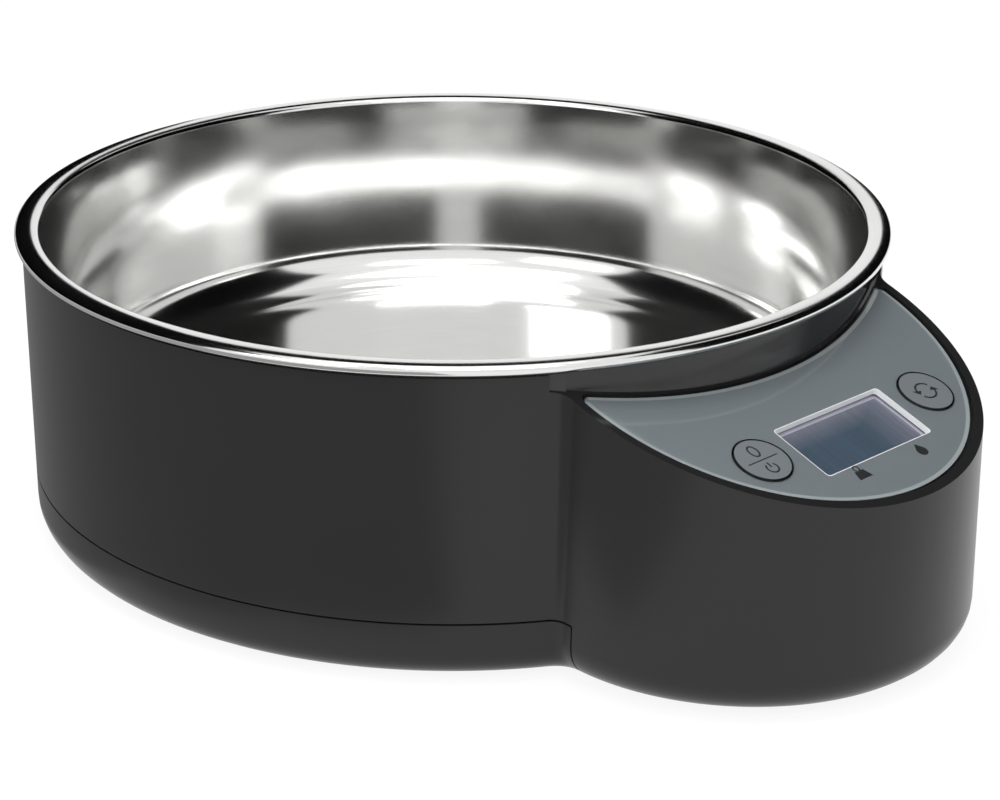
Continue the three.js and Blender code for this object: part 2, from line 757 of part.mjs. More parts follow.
function upperPillar({ x, y }) {
  return disc(pillarRadius, bossTop, deckBottom + weld, x, y, discSegments / 2);
}

// A console pillar stands clear of the board and is tied to the side wall by a rib
function consolePillar({ x, y }) {
  const reach = Math.hypot(x, y + consoleOffset);
  const angle = Math.atan2(y + consoleOffset, x);
  const rib = block(
    0, consoleRadius - reach - wall / 2, -pillarRib / 2, pillarRib / 2, bossTop, consolePillarTop,
  );
  return join(
    disc(pillarRadius, bossTop, consolePillarTop, x, y, discSegments / 2),
    rib.rotateZ(angle).translate(x, y, 0),
  );
}

function tongue() {
  const ring = cut(
    disc(wellRadius - fit, seamHeight - tongueDepth, deckBottom + weld, 0, 0, ringSegments),
    disc(wellRadius - fit - tongueThickness, -overrun, far, 0, 0, ringSegments),
  );
  return cut(ring, block(-far, far, -far, -tongueSide, -overrun, far));
}

function upperHousing() {
  const baseZone = block(
    -far, far, -consoleOffset - seamGap / 2, far, -overrun, seamHeight + seamGap / 2,
  );
  const well = disc(wellRadius, deckTop, far, 0, 0, ringSegments);
  const floorOpening = disc(
    consoleRadius - consoleBottomRadius, -overrun, wall + weld, 0, -consoleOffset, ringSegments,
  );
  const pocket = onBody(prism(panelOutline(-fit), -pocketFloor, far));
  const windowOpening = onBody(prism(
    roundedRectangle(holderHalfWidth + fit, holderHalfHeight + fit, windowCorner, 0, windowY),
    -plateBottom - overrun, overrun,
  ));
  const keyOpenings = Object.values(keySides).map((side) => onBody(disc(
    keyRadius + keyGap, -plateBottom - overrun, overrun, side * keyX, keyY,
  )));
  const boardPillars = boardBosses.map(({ x, y }) => onBody(disc(
    boardPillarRadius, -boardTop + fit, -plateBottom + weld, x, y, screwSegments,
  )));
  const boardPillarHoles = boardBosses.map(({ x, y }) => onBody(disc(
    boardScrewShank + fit, -boardTop - overrun, -plateBottom - fit, x, y, screwSegments,
  )));
  const hubOpening = prism(
    roundedRectangle(hubHalfLength + hubHoleGap, hubHalfWidth + hubHoleGap, hubRadius, hubCentre),
    deckBottom - overrun, deckTop + overrun,
  );
  const screwHoles = bosses.map(({ x, y }) => disc(
    screwShank + fit, bossTop - overrun, screwSeat + screwLength + fit, x, y, screwSegments,
  ));
  const shell = cut(
    outerForm, consoleTopCutter(bandHalfAngle, bodyRadius - bandStep),
    consoleTopCutter(stepHalfAngle, bandRadius), baseZone, well, consoleHollow(), floorOpening,
    pocket, windowOpening, ...keyOpenings,
  );
  const whole = join(
    shell, tongue(), ...roundBosses.map(upperPillar), ...consoleBosses.map(consolePillar), ...boardPillars,
  );
  return cut(whole, hubOpening, ...screwHoles, ...boardPillarHoles);
}
add(body, 'upper_housing', upperHousing(), satinPlastic);

// Base tray: the floor, the low wall up to the seam, the battery box, and seats for screws and feet
const footInset = 19.8;
const footAngles = [40, 140].map(THREE.MathUtils.degToRad);
const frontFootX = 37;
const frontFootReach = 4.85;
const doorLap = 1.2;
const doorLedge = 0.2;
const hingeTabX = 15;
const hingeTabWidth = 8;
const hingeTabReach = 1.5;
const hingeTabBottom = 1.1;
const hingePocketRise = 1.1;
const hingePocketReach = hingeTabReach + fit;
const tagWidth = 2;
const footOrbit = bodyRadius - footInset;
const frontFootY = -consoleOffset - frontFootReach;
const feet = [
  ...footAngles.map((angle) => new THREE.Vector2(footOrbit * Math.cos(angle), footOrbit * Math.sin(angle))),
  new THREE.Vector2(-frontFootX, frontFootY),
  new THREE.Vector2(frontFootX, frontFootY),
];
const doorHalfLength = boxHalfLength + doorLap - fit;
const doorBack = -boxCentre + boxHalfWidth + doorLap - fit;
const doorFront = -boxCentre - boxHalfWidth - doorLap + fit;
const tagRows = [-1, 1].map((row) => -boxCentre + (row * cellPitch) / 2);

function batteryBox() {
  return block(
    -boxHalfLength - boxWall, boxHalfLength + boxWall,
    -boxCentre - boxHalfWidth - boxWall, -boxCentre + boxHalfWidth + boxWall, 0, boxTop,
  );
}

function batteryBoxCutters() {
  const inside = block(
    -boxHalfLength, boxHalfLength, -boxCentre - boxHalfWidth, -boxCentre + boxHalfWidth,
    -overrun, boxInnerTop,
  );
  const doorRecess = block(
    -doorHalfLength - fit, doorHalfLength + fit, doorFront - fit, doorBack + fit,
    -overrun, doorThickness + doorLedge,
  );
  const hingePockets = [-1, 1].map((side) => block(
    side * hingeTabX - hingeTabWidth / 2 - fit, side * hingeTabX + hingeTabWidth / 2 + fit,
    doorBack - doorLap, doorBack + hingePocketReach, hingeTabBottom - fit, doorThickness + hingePocketRise,
  ));
  const tagSlots = tagRows.map((y) => block(
    contactFace - fit, contactFace + contactThickness + fit, y - tagWidth / 2 - fit, y + tagWidth / 2 + fit,
    boxInnerTop - fit, boxTop + overrun,
  ));
  return [inside, doorRecess, ...hingePockets, ...tagSlots];
}

function baseTray() {
  const zone = block(-far, far, -consoleOffset + seamGap / 2, far, -overrun, seamHeight - seamGap / 2);
  const shell = common(cut(outerForm, innerForm), zone);
  const consoleFloor = disc(
    consoleRadius - consoleBottomRadius - seamGap, 0, wall, 0, -consoleOffset, ringSegments,
  );
  const loadCellSeat = block(
    -loadCellEnd, fixedHoles[1] + hubMargin, -loadCellWidth / 2, loadCellWidth / 2,
    wall - weld, loadCellBottom,
  );
  const seats = bosses.map(({ x, y }) => disc(bossRadius, 0, bossTop, x, y, discSegments / 2));
  const screwCutters = bosses.flatMap(({ x, y }) => [
    disc(screwHead + fit, -overrun, screwSeat, x, y, discSegments / 2),
    disc(screwShank + fit, -overrun, bossTop + overrun, x, y, screwSegments),
  ]);
  const cellScrewCutters = fixedHoles.flatMap((x) => [
    disc(cellScrewHead + fit, -overrun, baseScrewSeat, x, 0, discSegments / 2),
    disc(cellScrewShank + fit, -overrun, loadCellBottom + overrun, x, 0, screwSegments),
  ]);
  const footCutters = feet.map(({ x, y }) => disc(footRadius + fit, -overrun, footRecess, x, y));
  return cut(
    join(shell, consoleFloor, loadCellSeat, batteryBox(), ...seats),
    ...batteryBoxCutters(), ...screwCutters, ...cellScrewCutters, ...footCutters,
  );
}
add(body, 'base_tray', baseTray(), satinPlastic);

feet.forEach(({ x, y }, i) => {
  add(body, `rubber_foot_${i + 1}`, disc(footRadius, footRecess - footThickness, footRecess, x, y), rubber);
});

// Battery door: it turns on two tabs at its back edge, and a springy tongue holds its front edge
const doorTongueHalfWidth = 7;
const doorTongueLength = 9;
const doorSlit = 1;
const gripDepth = 0.4;
const gripWidth = 0.8;
const gripPitch = 2;
const gripCount = 3;

function batteryDoor() {
  const plate = block(-doorHalfLength, doorHalfLength, doorFront, doorBack, 0, doorThickness);
  const tabs = [-1, 1].map((side) => block(
    side * hingeTabX - hingeTabWidth / 2, side * hingeTabX + hingeTabWidth / 2,
    doorBack - doorLap, doorBack + hingeTabReach, hingeTabBottom, doorThickness,
  ));
  const slits = [-1, 1].map((side) => block(
    side * doorTongueHalfWidth - doorSlit / 2, side * doorTongueHalfWidth + doorSlit / 2,
    doorFront - overrun, doorFront + doorTongueLength, -overrun, doorThickness + overrun,
  ));
  const grips = Array.from({ length: gripCount }, (_, i) => block(
    -doorTongueHalfWidth + doorSlit * 2, doorTongueHalfWidth - doorSlit * 2,
    doorFront + (i + 1) * gripPitch - gripWidth / 2, doorFront + (i + 1) * gripPitch + gripWidth / 2,
    -overrun, gripDepth,
  ));
  return cut(join(plate, ...tabs), ...slits, ...grips);
}
add(body, 'battery_door', batteryDoor(), satinPlastic);

// Two AAA cells side by side, head to tail
const cellEdge = 0.5;
function batteryCell() {
  return turned([
    [0, 0],
    [cellRadius - cellEdge, 0],
    [cellRadius, cellEdge],
    [cellRadius, cellLength - nubHeight - cellEdge],
    [cellRadius - cellEdge, cellLength - nubHeight],
    [nubRadius, cellLength - nubHeight],
    [nubRadius, cellLength],
    [0, cellLength],
  ], discSegments);
}
const cellRows = [
  { name: 'battery_front', y: tagRows[0], direction: 1 },
  { name: 'battery_rear', y: tagRows[1], direction: -1 },
];
for (const { name, y, direction } of cellRows) {
  const cell = add(body, name, batteryCell(), cellSleeve);
  cell.rotation.y = direction * quarterTurn;
  cell.position.set(direction * (contactFace - cellLength), y, cellHeight);
}

// Contacts: one plate bridges the cells at one end, two with solder tags stand at the other
const contactHalfSize = 4.5;
const tagRise = 2.5;
const tagTop = boxTop + tagRise;
function contactPlate(side, y0, y1, tagY = null) {
  const inner = side * contactFace;
  const outer = side * (contactFace + contactThickness);
  const [x0, x1] = [Math.min(inner, outer), Math.max(inner, outer)];
  const plate = block(x0, x1, y0, y1, cellHeight - contactHalfSize, cellHeight + contactHalfSize);
  if (tagY === null) return plate;
  return join(plate, block(x0, x1, tagY - tagWidth / 2, tagY + tagWidth / 2, cellHeight, tagTop));
}
add(body, 'battery_bridge_contact', contactPlate(
  -1, tagRows[0] - contactHalfSize, tagRows[1] + contactHalfSize,
), zincSteel);
add(body, 'battery_positive_contact', contactPlate(
  1, tagRows[0] - contactHalfSize, tagRows[0] + contactHalfSize, tagRows[0],
), zincSteel);
add(body, 'battery_negative_contact', contactPlate(
  1, tagRows[1] - contactHalfSize, tagRows[1] + contactHalfSize, tagRows[1],
), zincSteel);

// Coil springs that press each cell against its contact
const springWire = 0.35;
const springWideRadius = 3.4;
const springNarrowRadius = 2.2;
const springTurns = 3.5;
const springStepsPerTurn = 8;
const springSides = 5;

class ConeCoil extends THREE.Curve {
  getPoint(t) {
    const radius = springWideRadius + (springNarrowRadius - springWideRadius) * t;
    const angle = 2 * Math.PI * springTurns * t;
    const rise = springWire + (springLength - 2 * springWire) * t;
    return new THREE.Vector3(radius * Math.cos(angle), radius * Math.sin(angle), rise);
  }
}

function tube(path, radius, steps, sides) {
  const section = new THREE.Shape(circle(0, 0, radius, sides));
  return new THREE.ExtrudeGeometry(section, { extrudePath: path, steps, bevelEnabled: false });
}

for (const { name, y, direction } of cellRows) {
  const coil = tube(new ConeCoil(), springWire, Math.round(springTurns * springStepsPerTurn), springSides);
  const spring = add(body, `${name}_spring`, coil, zincSteel);
  spring.rotation.y = direction * quarterTurn;
  spring.position.set(direction * (fit - contactFace), y, cellHeight);
}

// Wiring: the load cell's lead runs along the floor, round the battery box and up to its socket,
// and the battery leads rise from the two solder tags
const leadRadius = 1.3;
const wireRadius = 0.8;
const wireSpread = 1.4;
const leadSteps = 44;
const wireSteps = 18;
const leadSides = 8;
const socketApproach = 6;

function leadInto(x) {
  return [
    panelPoint(x, socketY, socketBottom + socketApproach),
    panelPoint(x, socketY, socketBottom + socketApproach / 2),
    panelPoint(x, socketY, socketBottom + fit),
  ];
}

function lead(points, radius, steps) {
  return tube(new THREE.CatmullRomCurve3(points), radius, steps, leadSides);
}

const loadCellRoute = [
  [-10, -6.5, 8.6], [-10, -11, 8.4], [-10, -19, 5.4], [-11, -30, 4.4], [-13, -60, 4.4], [-22, -84, 4.4],
  [-30, -98, 4.6], [-32.3, -106.5, 8], [-31, -109.5, 16], [-26, -110.5, 26], [-18, -109.5, 33],
].map((point) => new THREE.Vector3(...point));
add(body, 'load_cell_lead', lead(
  [...loadCellRoute, ...leadInto(cellSocketX)], leadRadius, leadSteps,
), greyCable);

const tagMiddle = contactFace + contactThickness / 2;
const wireRoutes = {
  battery_lead_red: { y: tagRows[0], offset: wireSpread, bend: [22.5, -114, 31], material: redWire },
  battery_lead_black: { y: tagRows[1], offset: -wireSpread, bend: [20, -108.5, 31], material: blackWire },
};
for (const [name, { y, offset, bend, material }] of Object.entries(wireRoutes)) {
  const points = [
    new THREE.Vector3(tagMiddle, y, tagTop + fit),
    new THREE.Vector3(tagMiddle, y, tagTop + socketApproach),
    new THREE.Vector3(...bend),
    ...leadInto(batterySocketX + offset),
  ];
  add(body, name, lead(points, wireRadius, wireSteps), material);
}

const group = new THREE.Group();
group.add(body);
group.updateMatrixWorld(true);

export default group;
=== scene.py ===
import math

import bmesh
import bpy
from mathutils import Matrix, Vector, kdtree


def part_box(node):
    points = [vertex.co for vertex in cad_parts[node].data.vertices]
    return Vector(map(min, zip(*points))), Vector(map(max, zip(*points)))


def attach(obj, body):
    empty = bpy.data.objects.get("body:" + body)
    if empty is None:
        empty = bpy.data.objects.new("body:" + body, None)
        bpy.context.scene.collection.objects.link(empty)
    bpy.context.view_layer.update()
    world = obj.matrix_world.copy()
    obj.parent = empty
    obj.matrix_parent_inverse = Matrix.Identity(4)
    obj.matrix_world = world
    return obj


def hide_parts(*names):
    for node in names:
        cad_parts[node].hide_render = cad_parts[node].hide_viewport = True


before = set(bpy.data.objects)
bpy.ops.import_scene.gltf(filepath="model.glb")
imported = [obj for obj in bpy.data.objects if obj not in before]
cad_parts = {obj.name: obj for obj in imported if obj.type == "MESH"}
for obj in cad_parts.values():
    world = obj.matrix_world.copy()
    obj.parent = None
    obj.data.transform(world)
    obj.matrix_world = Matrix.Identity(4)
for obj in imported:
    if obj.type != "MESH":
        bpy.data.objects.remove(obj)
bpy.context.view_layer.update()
mm = 0.001


# Camera and studio: a long lens looks down over the left of the console. The object stands on a pale
# floor in a white room, under three soft lamps. Dark flags and a grey cloth, which only mirrors see, draw
# its edges. From below the floor is clear, so that the underside can be looked at.
camera_place = Vector((-416.9, -420.05, 273.8)) * mm
camera_heading = math.radians(44.48)
camera_pitch = math.radians(22.29)
camera_roll = math.radians(0.43)
camera_lens = 92.48

bpy.ops.object.camera_add()
camera = bpy.context.object
camera.name = "camera"
camera.data.lens = camera_lens
camera.matrix_world = (
    Matrix.Translation(camera_place)
    @ Matrix.Rotation(-camera_heading, 4, "Z")
    @ Matrix.Rotation(math.radians(90) - camera_pitch, 4, "X")
    @ Matrix.Rotation(camera_roll, 4, "Z")
)
bpy.context.scene.camera = camera
bpy.context.scene.view_settings.view_transform = "Standard"


def add_node(tree, kind, values=(), **settings):
    """A shader node with its settings, its inputs given as plain values or as other nodes' outputs."""
    made = tree.nodes.new(kind)
    for key, value in settings.items():
        setattr(made, key, value)
    for key, value in dict(values).items():
        if isinstance(value, bpy.types.NodeSocket):
            tree.links.new(value, made.inputs[key])
        else:
            made.inputs[key].default_value = value
    return made


def seen_or_mirrored(tree):
    """1 where a ray comes from the camera, from a mirror or through glass, and 0 for soft light."""
    rays = add_node(tree, "ShaderNodeLightPath")
    both = add_node(tree, "ShaderNodeMath", {0: rays.outputs["Is Camera Ray"],
                                             1: rays.outputs["Is Glossy Ray"]}, operation="MAXIMUM")
    return add_node(tree, "ShaderNodeMath", {0: both.outputs[0],
                                             1: rays.outputs["Is Transmission Ray"]},
                    operation="MAXIMUM").outputs[0]


room_light = 0.80
room = bpy.data.worlds.new("white_room")
room.use_nodes = True
bpy.context.scene.world = room
room_tree = room.node_tree
room_tree.nodes.clear()
room_strength = add_node(room_tree, "ShaderNodeMapRange",
                         {"Value": seen_or_mirrored(room_tree), "To Min": room_light, "To Max": 1.0})
room_glow = add_node(room_tree, "ShaderNodeBackground", {"Color": (1, 1, 1, 1),
                                                         "Strength": room_strength.outputs["Result"]})
add_node(room_tree, "ShaderNodeOutputWorld", {"Surface": room_glow.outputs[0]})

floor_radius = 3.0
floor_colour = (0.86, 0.86, 0.86, 1)
floor_white_share = 0.85
floor_glow = 1.05
bpy.ops.mesh.primitive_circle_add(vertices=96, radius=floor_radius, fill_type="NGON")
floor = bpy.context.object
floor.name = "floor"
floor_paint = bpy.data.materials.new("pale_floor")
floor_paint.use_nodes = True
tree = floor_paint.node_tree
tree.nodes.clear()
floor_matt = add_node(tree, "ShaderNodeBsdfDiffuse", {"Color": floor_colour})
floor_white = add_node(tree, "ShaderNodeEmission", {"Color": (1, 1, 1, 1), "Strength": floor_glow})
floor_share = add_node(tree, "ShaderNodeMath", {0: seen_or_mirrored(tree), 1: floor_white_share},
                       operation="MULTIPLY")
floor_mix = add_node(tree, "ShaderNodeMixShader", {0: floor_share.outputs[0], 1: floor_matt.outputs[0],
                                                   2: floor_white.outputs[0]})
floor_side = add_node(tree, "ShaderNodeNewGeometry")
floor_clear = add_node(tree, "ShaderNodeBsdfTransparent")
one_way = add_node(tree, "ShaderNodeMixShader", {0: floor_side.outputs["Backfacing"],
                                                 1: floor_mix.outputs[0], 2: floor_clear.outputs[0]})
add_node(tree, "ShaderNodeOutputMaterial", {"Surface": one_way.outputs[0]})
floor.data.materials.append(floor_paint)


def soft_lamp(name, place, width, length, power):
    """A rectangular soft box that faces the object, in metres and watts."""
    bpy.ops.object.light_add(type="AREA", location=place)
    lamp = bpy.context.object
    lamp.name = name
    lamp.data.shape = "RECTANGLE"
    lamp.data.size = width
    lamp.data.size_y = length
    lamp.data.energy = power
    lamp.rotation_euler = (-Vector(place)).to_track_quat("-Z", "Y").to_euler()


soft_lamp("top_lamp", place=(-0.15, -0.05, 1.0), width=0.55, length=0.55, power=4.0)
soft_lamp("front_lamp", place=(-0.55, -0.75, 1.1), width=0.7, length=0.2, power=3.0)
soft_lamp("left_lamp", place=(-1.1, -0.1, 0.75), width=0.5, length=0.4, power=2.4)


def cloth_paint(name, tone):
    """A cloth of one even tone, which a mirror shows just as it is written."""
    paint = bpy.data.materials.new(name)
    paint.use_nodes = True
    tree = paint.node_tree
    tree.nodes.clear()
    glow = add_node(tree, "ShaderNodeEmission", {"Color": (1, 1, 1, 1), "Strength": tone})
    add_node(tree, "ShaderNodeOutputMaterial", {"Surface": glow.outputs[0]})
    return paint


flag_black = cloth_paint("flag_black", tone=0.003)
floor_grey = cloth_paint("floor_grey", tone=0.38)


def flag(name, start, end, low, high, near=1.3, far_off=1.3, paint=flag_black):
    """A cloth that only mirrors see, between two compass headings and from a low edge to a high one.

    The low edge hangs at the near distance and the high edge at the far one, all in metres.
    """
    bpy.ops.mesh.primitive_plane_add(size=1)
    cloth = bpy.context.object
    cloth.name = name
    corners = [(start, low, near), (end, low, near), (start, high, far_off), (end, high, far_off)]
    for vertex, (heading, height, distance) in zip(cloth.data.vertices, corners):
        turn = math.radians(heading)
        vertex.co = (distance * math.sin(turn), distance * math.cos(turn), height)
    cloth.data.materials.append(paint)
    cloth.visible_camera = cloth.visible_diffuse = cloth.visible_shadow = cloth.visible_transmission = False


flag("left_flag", start=-75, end=33, low=0.05, high=1.6)
flag("back_flag", start=33, end=58, low=0.66, high=1.55)
floor_cloth_start = -130
floor_cloth_turn = 27
floor_cloth_count = 6
floor_cloth_level = 0.003
for i in range(floor_cloth_count):
    heading = floor_cloth_start + i * floor_cloth_turn
    flag(f"floor_cloth_{i + 1}", heading, heading + floor_cloth_turn, floor_cloth_level, floor_cloth_level,
         near=0.12, far_off=0.75, paint=floor_grey)
flag("right_flag", start=58, end=165, low=0.05, high=0.85)
flag("right_high_flag", start=69, end=165, low=0.85, high=1.9)


# Steel bowl: stainless sheet, deep drawn, its edge rolled outwards and pressed flat into a rim.
# It stands loose on the platform; it is polished, and fine lines from turning run round it.
bowl_low, bowl_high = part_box("steel_bowl")
axis_y = (bowl_low.y + bowl_high.y) / 2
base_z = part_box("base_tray")[0].z
sheet = 0.7 * mm
rim_radius = bowl_high.x
rim_top = bowl_high.z - base_z
bowl_bottom = bowl_low.z - base_z
bowl_corner = 12 * mm
bowl_neck = 101.85 * mm
bowl_lean = 2.9 * mm
curl_radius = 0.9 * mm
curl_return = 2.1 * mm
curl_crown = 0.12 * mm
turning_depth = 0.004 * mm
bowl_segments = 192
bowl_corner_steps = 12
bowl_wall_steps = 6
neck_steps = 6
curl_steps = 10


def arc(x, y, radius, start, end, steps):
    """Points of an arc without its last one, so that arcs can follow one another."""
    angles = [start + (end - start) * i / steps for i in range(steps)]
    return [(x + radius * math.cos(a), y + radius * math.sin(a)) for a in angles]


def sheet_outline(line, thickness):
    """Both faces of a sheet that follows a centre line, as one outline from the axis to the axis."""
    outside, inside = [], []
    for i, point in enumerate(line):
        along = Vector(line[min(i + 1, len(line) - 1)]) - Vector(line[max(i - 1, 0)])
        along.normalize()
        right = Vector((along.y, -along.x)) * thickness / 2
        if i == 0:
            right = Vector((0, -thickness / 2))
        outside.append(Vector(point) + right)
        inside.append(Vector(point) - right)
    return outside + inside[::-1]


def select_none():
    """Leaves edit mode and deselects everything, the imported CAD parts too."""
    if bpy.context.object and bpy.context.object.mode != "OBJECT":
        bpy.ops.object.mode_set(mode="OBJECT")
    bpy.ops.object.select_all(action="DESELECT")


def pick(obj):
    """Selects one object alone, so that the next operator works on nothing else."""
    select_none()
    obj.select_set(True)
    bpy.context.view_layer.objects.active = obj


def turned(name, profile, segments):
    """A round piece: a profile is drawn by extruding one vertex, and then spun about the Z axis."""
    select_none()
    bpy.ops.mesh.primitive_plane_add(size=mm)
    obj = bpy.context.object
    obj.name = name
    bpy.ops.object.mode_set(mode="EDIT")
    bpy.ops.mesh.merge(type="CENTER")
    (x, z), *rest = profile
    bpy.ops.transform.translate(value=(x, 0, z))
    for next_x, next_z in rest:
        bpy.ops.mesh.extrude_vertices_move(TRANSFORM_OT_translate={"value": (next_x - x, 0, next_z - z)})
        x, z = next_x, next_z
    bpy.ops.mesh.select_all(action="SELECT")
    bpy.ops.mesh.spin(steps=segments, angle=2 * math.pi, center=(0, 0, 0), axis=(0, 0, 1))
    bpy.ops.mesh.select_all(action="SELECT")
    bpy.ops.mesh.remove_doubles(threshold=mm / 1000)
    bpy.ops.mesh.normals_make_consistent(inside=False)
    bpy.ops.object.mode_set(mode="OBJECT")
    return obj


def smooth(obj, degrees=32, keep_flats=False):
    """Smooth shading that keeps edges sharper than the angle and, if asked, large faces quite flat."""
    pick(obj)
    bpy.ops.object.shade_smooth_by_angle(angle=math.radians(degrees))
    if keep_flats:
        modifier = obj.modifiers.new("weighted", "WEIGHTED_NORMAL")
        modifier.keep_sharp = True
        bpy.ops.object.modifier_apply(modifier=modifier.name)


def seat(obj, matrix):
    """Brings a piece that was modelled about an origin of its own to its place, all in its mesh."""
    pick(obj)
    obj.matrix_world = matrix @ obj.matrix_world
    bpy.ops.object.transform_apply(location=True, rotation=True, scale=True)


on_body = Matrix.Translation((0, axis_y, base_z))

corner_line = bowl_corner - sheet / 2
corner_x = bowl_neck - bowl_lean - corner_line
curl_z = rim_top - sheet / 2 - curl_radius
curl_x = rim_radius - sheet / 2 - curl_radius
bowl_line = [
    (0, bowl_bottom + sheet / 2),
    *arc(corner_x, bowl_bottom + bowl_corner, corner_line, -math.pi / 2, 0, bowl_corner_steps),
    *[(corner_x + corner_line + bowl_lean * i / bowl_wall_steps,
       bowl_bottom + bowl_corner + (curl_z - bowl_bottom - bowl_corner) * i / bowl_wall_steps)
      for i in range(bowl_wall_steps)],
    *arc(bowl_neck + curl_radius, curl_z - curl_crown, curl_radius, math.pi, math.pi / 2, neck_steps),
    ((bowl_neck + curl_x) / 2 + curl_radius / 2, rim_top - sheet / 2),
    *arc(curl_x, curl_z - curl_crown / 2, curl_radius, math.pi / 2, -math.pi / 2, curl_steps),
    (curl_x, curl_z - curl_radius),
    (curl_x - curl_return, curl_z - curl_radius),
]
steel_bowl = turned("steel_bowl_drawn", sheet_outline(bowl_line, sheet), bowl_segments)
smooth(steel_bowl, 40)
seat(steel_bowl, on_body)


def new_group(name, inputs, outputs):
    """An empty shader node group with named float inputs and outputs, and its two end nodes."""
    group = bpy.data.node_groups.new(name, "ShaderNodeTree")
    for label in inputs:
        group.interface.new_socket(label, in_out="INPUT", socket_type="NodeSocketFloat")
    for label in outputs:
        group.interface.new_socket(label, in_out="OUTPUT", socket_type="NodeSocketFloat")
    return group, group.nodes.new("NodeGroupInput"), group.nodes.new("NodeGroupOutput")


# The lines that turning and polishing leave: they run round the bowl's axis, and fade in and out
angle_stretch = 3.0
turning_lines, lines_in, lines_out = new_group("turning_lines", ["Lines per mm", "Axis Y"],
                                               ["Lines", "Smear"])
place = add_node(turning_lines, "ShaderNodeTexCoord")
split = add_node(turning_lines, "ShaderNodeSeparateXYZ", {0: place.outputs["Object"]})
along_y = add_node(turning_lines, "ShaderNodeMath", {0: split.outputs["Y"], 1: lines_in.outputs["Axis Y"]},
                   operation="SUBTRACT")
angle = add_node(turning_lines, "ShaderNodeMath", {0: along_y.outputs[0], 1: split.outputs["X"]},
                 operation="ARCTAN2")
flat = add_node(turning_lines, "ShaderNodeCombineXYZ", {"X": split.outputs["X"], "Y": along_y.outputs[0]})
radius = add_node(turning_lines, "ShaderNodeVectorMath", {0: flat.outputs[0]}, operation="LENGTH")
ring_scale = add_node(turning_lines, "ShaderNodeMath", {0: lines_in.outputs["Lines per mm"], 1: 1 / mm},
                      operation="MULTIPLY")
round_radius = add_node(turning_lines, "ShaderNodeMath", {0: radius.outputs["Value"],
                                                          1: ring_scale.outputs[0]}, operation="MULTIPLY")
round_height = add_node(turning_lines, "ShaderNodeMath", {0: split.outputs["Z"],
                                                          1: ring_scale.outputs[0]}, operation="MULTIPLY")
slow_angle = add_node(turning_lines, "ShaderNodeMath", {0: angle.outputs[0], 1: angle_stretch},
                      operation="MULTIPLY")
unrolled = add_node(turning_lines, "ShaderNodeCombineXYZ", {"X": slow_angle.outputs[0],
                                                            "Y": round_radius.outputs[0],
                                                            "Z": round_height.outputs[0]})
fine = add_node(turning_lines, "ShaderNodeTexNoise", {"Vector": unrolled.outputs[0], "Scale": 1.0,
                                                      "Detail": 3.0, "Roughness": 0.65})
smear = add_node(turning_lines, "ShaderNodeTexNoise", {"Vector": place.outputs["Object"], "Scale": 22.0,
                                                       "Detail": 2.0})
turning_lines.links.new(fine.outputs["Fac"], lines_out.inputs["Lines"])
turning_lines.links.new(smear.outputs["Fac"], lines_out.inputs["Smear"])


def new_material(name, **values):
    """A Principled material with the plain values given; returns it, its tree and its shader."""
    material = bpy.data.materials.new(name)
    material.use_nodes = True
    shader = material.node_tree.nodes["Principled BSDF"]
    for key, value in values.items():
        shader.inputs[key.replace("_", " ")].default_value = value
    return material, material.node_tree, shader


def add_group(tree, group, **values):
    """A node group placed in a material with its own values."""
    made = tree.nodes.new("ShaderNodeGroup")
    made.node_tree = group
    for key, value in values.items():
        made.inputs[key.replace("_", " ")].default_value = value
    return made


def shade(tree, shader, value, low, high, socket):
    """Spreads a pattern's 0 to 1 between two values or colours, and feeds it to a socket of the shader."""
    if isinstance(low, tuple):
        made = add_node(tree, "ShaderNodeMix", {"Factor": value}, data_type="RGBA")
        made.inputs[6].default_value = (*low, 1)
        made.inputs[7].default_value = (*high, 1)
        result = made.outputs[2]
    else:
        made = add_node(tree, "ShaderNodeMapRange", {"Value": value, "To Min": low, "To Max": high})
        result = made.outputs["Result"]
    if socket:
        tree.links.new(result, shader.inputs[socket])
    return result


def raise_bump(tree, shader, height, depth, strength=1.0):
    """Fine relief of a real depth on the shader's normal."""
    bump = add_node(tree, "ShaderNodeBump", {"Height": height, "Distance": depth, "Strength": strength})
    tree.links.new(bump.outputs["Normal"], shader.inputs["Normal"])


steel, steel_tree, steel_shader = new_material("polished_stainless", Metallic=1.0)
lines = add_group(steel_tree, turning_lines, Lines_per_mm=2.2, Axis_Y=axis_y)
shade(steel_tree, steel_shader, lines.outputs["Lines"], (0.72, 0.72, 0.71), (0.82, 0.82, 0.81), "Base Color")
shade(steel_tree, steel_shader, lines.outputs["Smear"], 0.07, 0.17, "Roughness")
raise_bump(steel_tree, steel_shader, lines.outputs["Lines"], turning_depth, strength=0.5)
steel_bowl.data.materials.append(steel)
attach(steel_bowl, "bowl")
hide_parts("steel_bowl")


# Upper housing: one moulding of anthracite plastic with a satin finish. It is the round wall with a
# deck inside, and the console with its sloping top; behind the console the wall is set back a little.
# The mould is polished in two places: the flat edge round the panel, and the wall that is set back.
body_radius = 105.8 * mm
body_height = 72 * mm
wall = 2.6 * mm
round_bottom = 6.7 * mm
console_radius = 54.87 * mm
console_offset = 95.15 * mm
console_bottom = 8.9 * mm
console_draft_share = 0.0167
notch_radius = 3.75 * mm
seam_height = 14.05 * mm
seam_gap = 0.4 * mm
panel_height = 66.2 * mm
panel_tilt = math.radians(19.48)
box_top = 14.6 * mm
deck_bottom = 15.2 * mm
deck_top = 17.2 * mm
band_depth = 1.4 * mm
band_step = 0.7 * mm
band_corner = 3 * mm
band_half_angle = math.radians(32.4)
step_half_angle = math.radians(30.3)
overrun = 20 * mm
overlap = 0.5 * mm
fit = 0.3 * mm
far = 300 * mm
lens_sink = 0.1 * mm
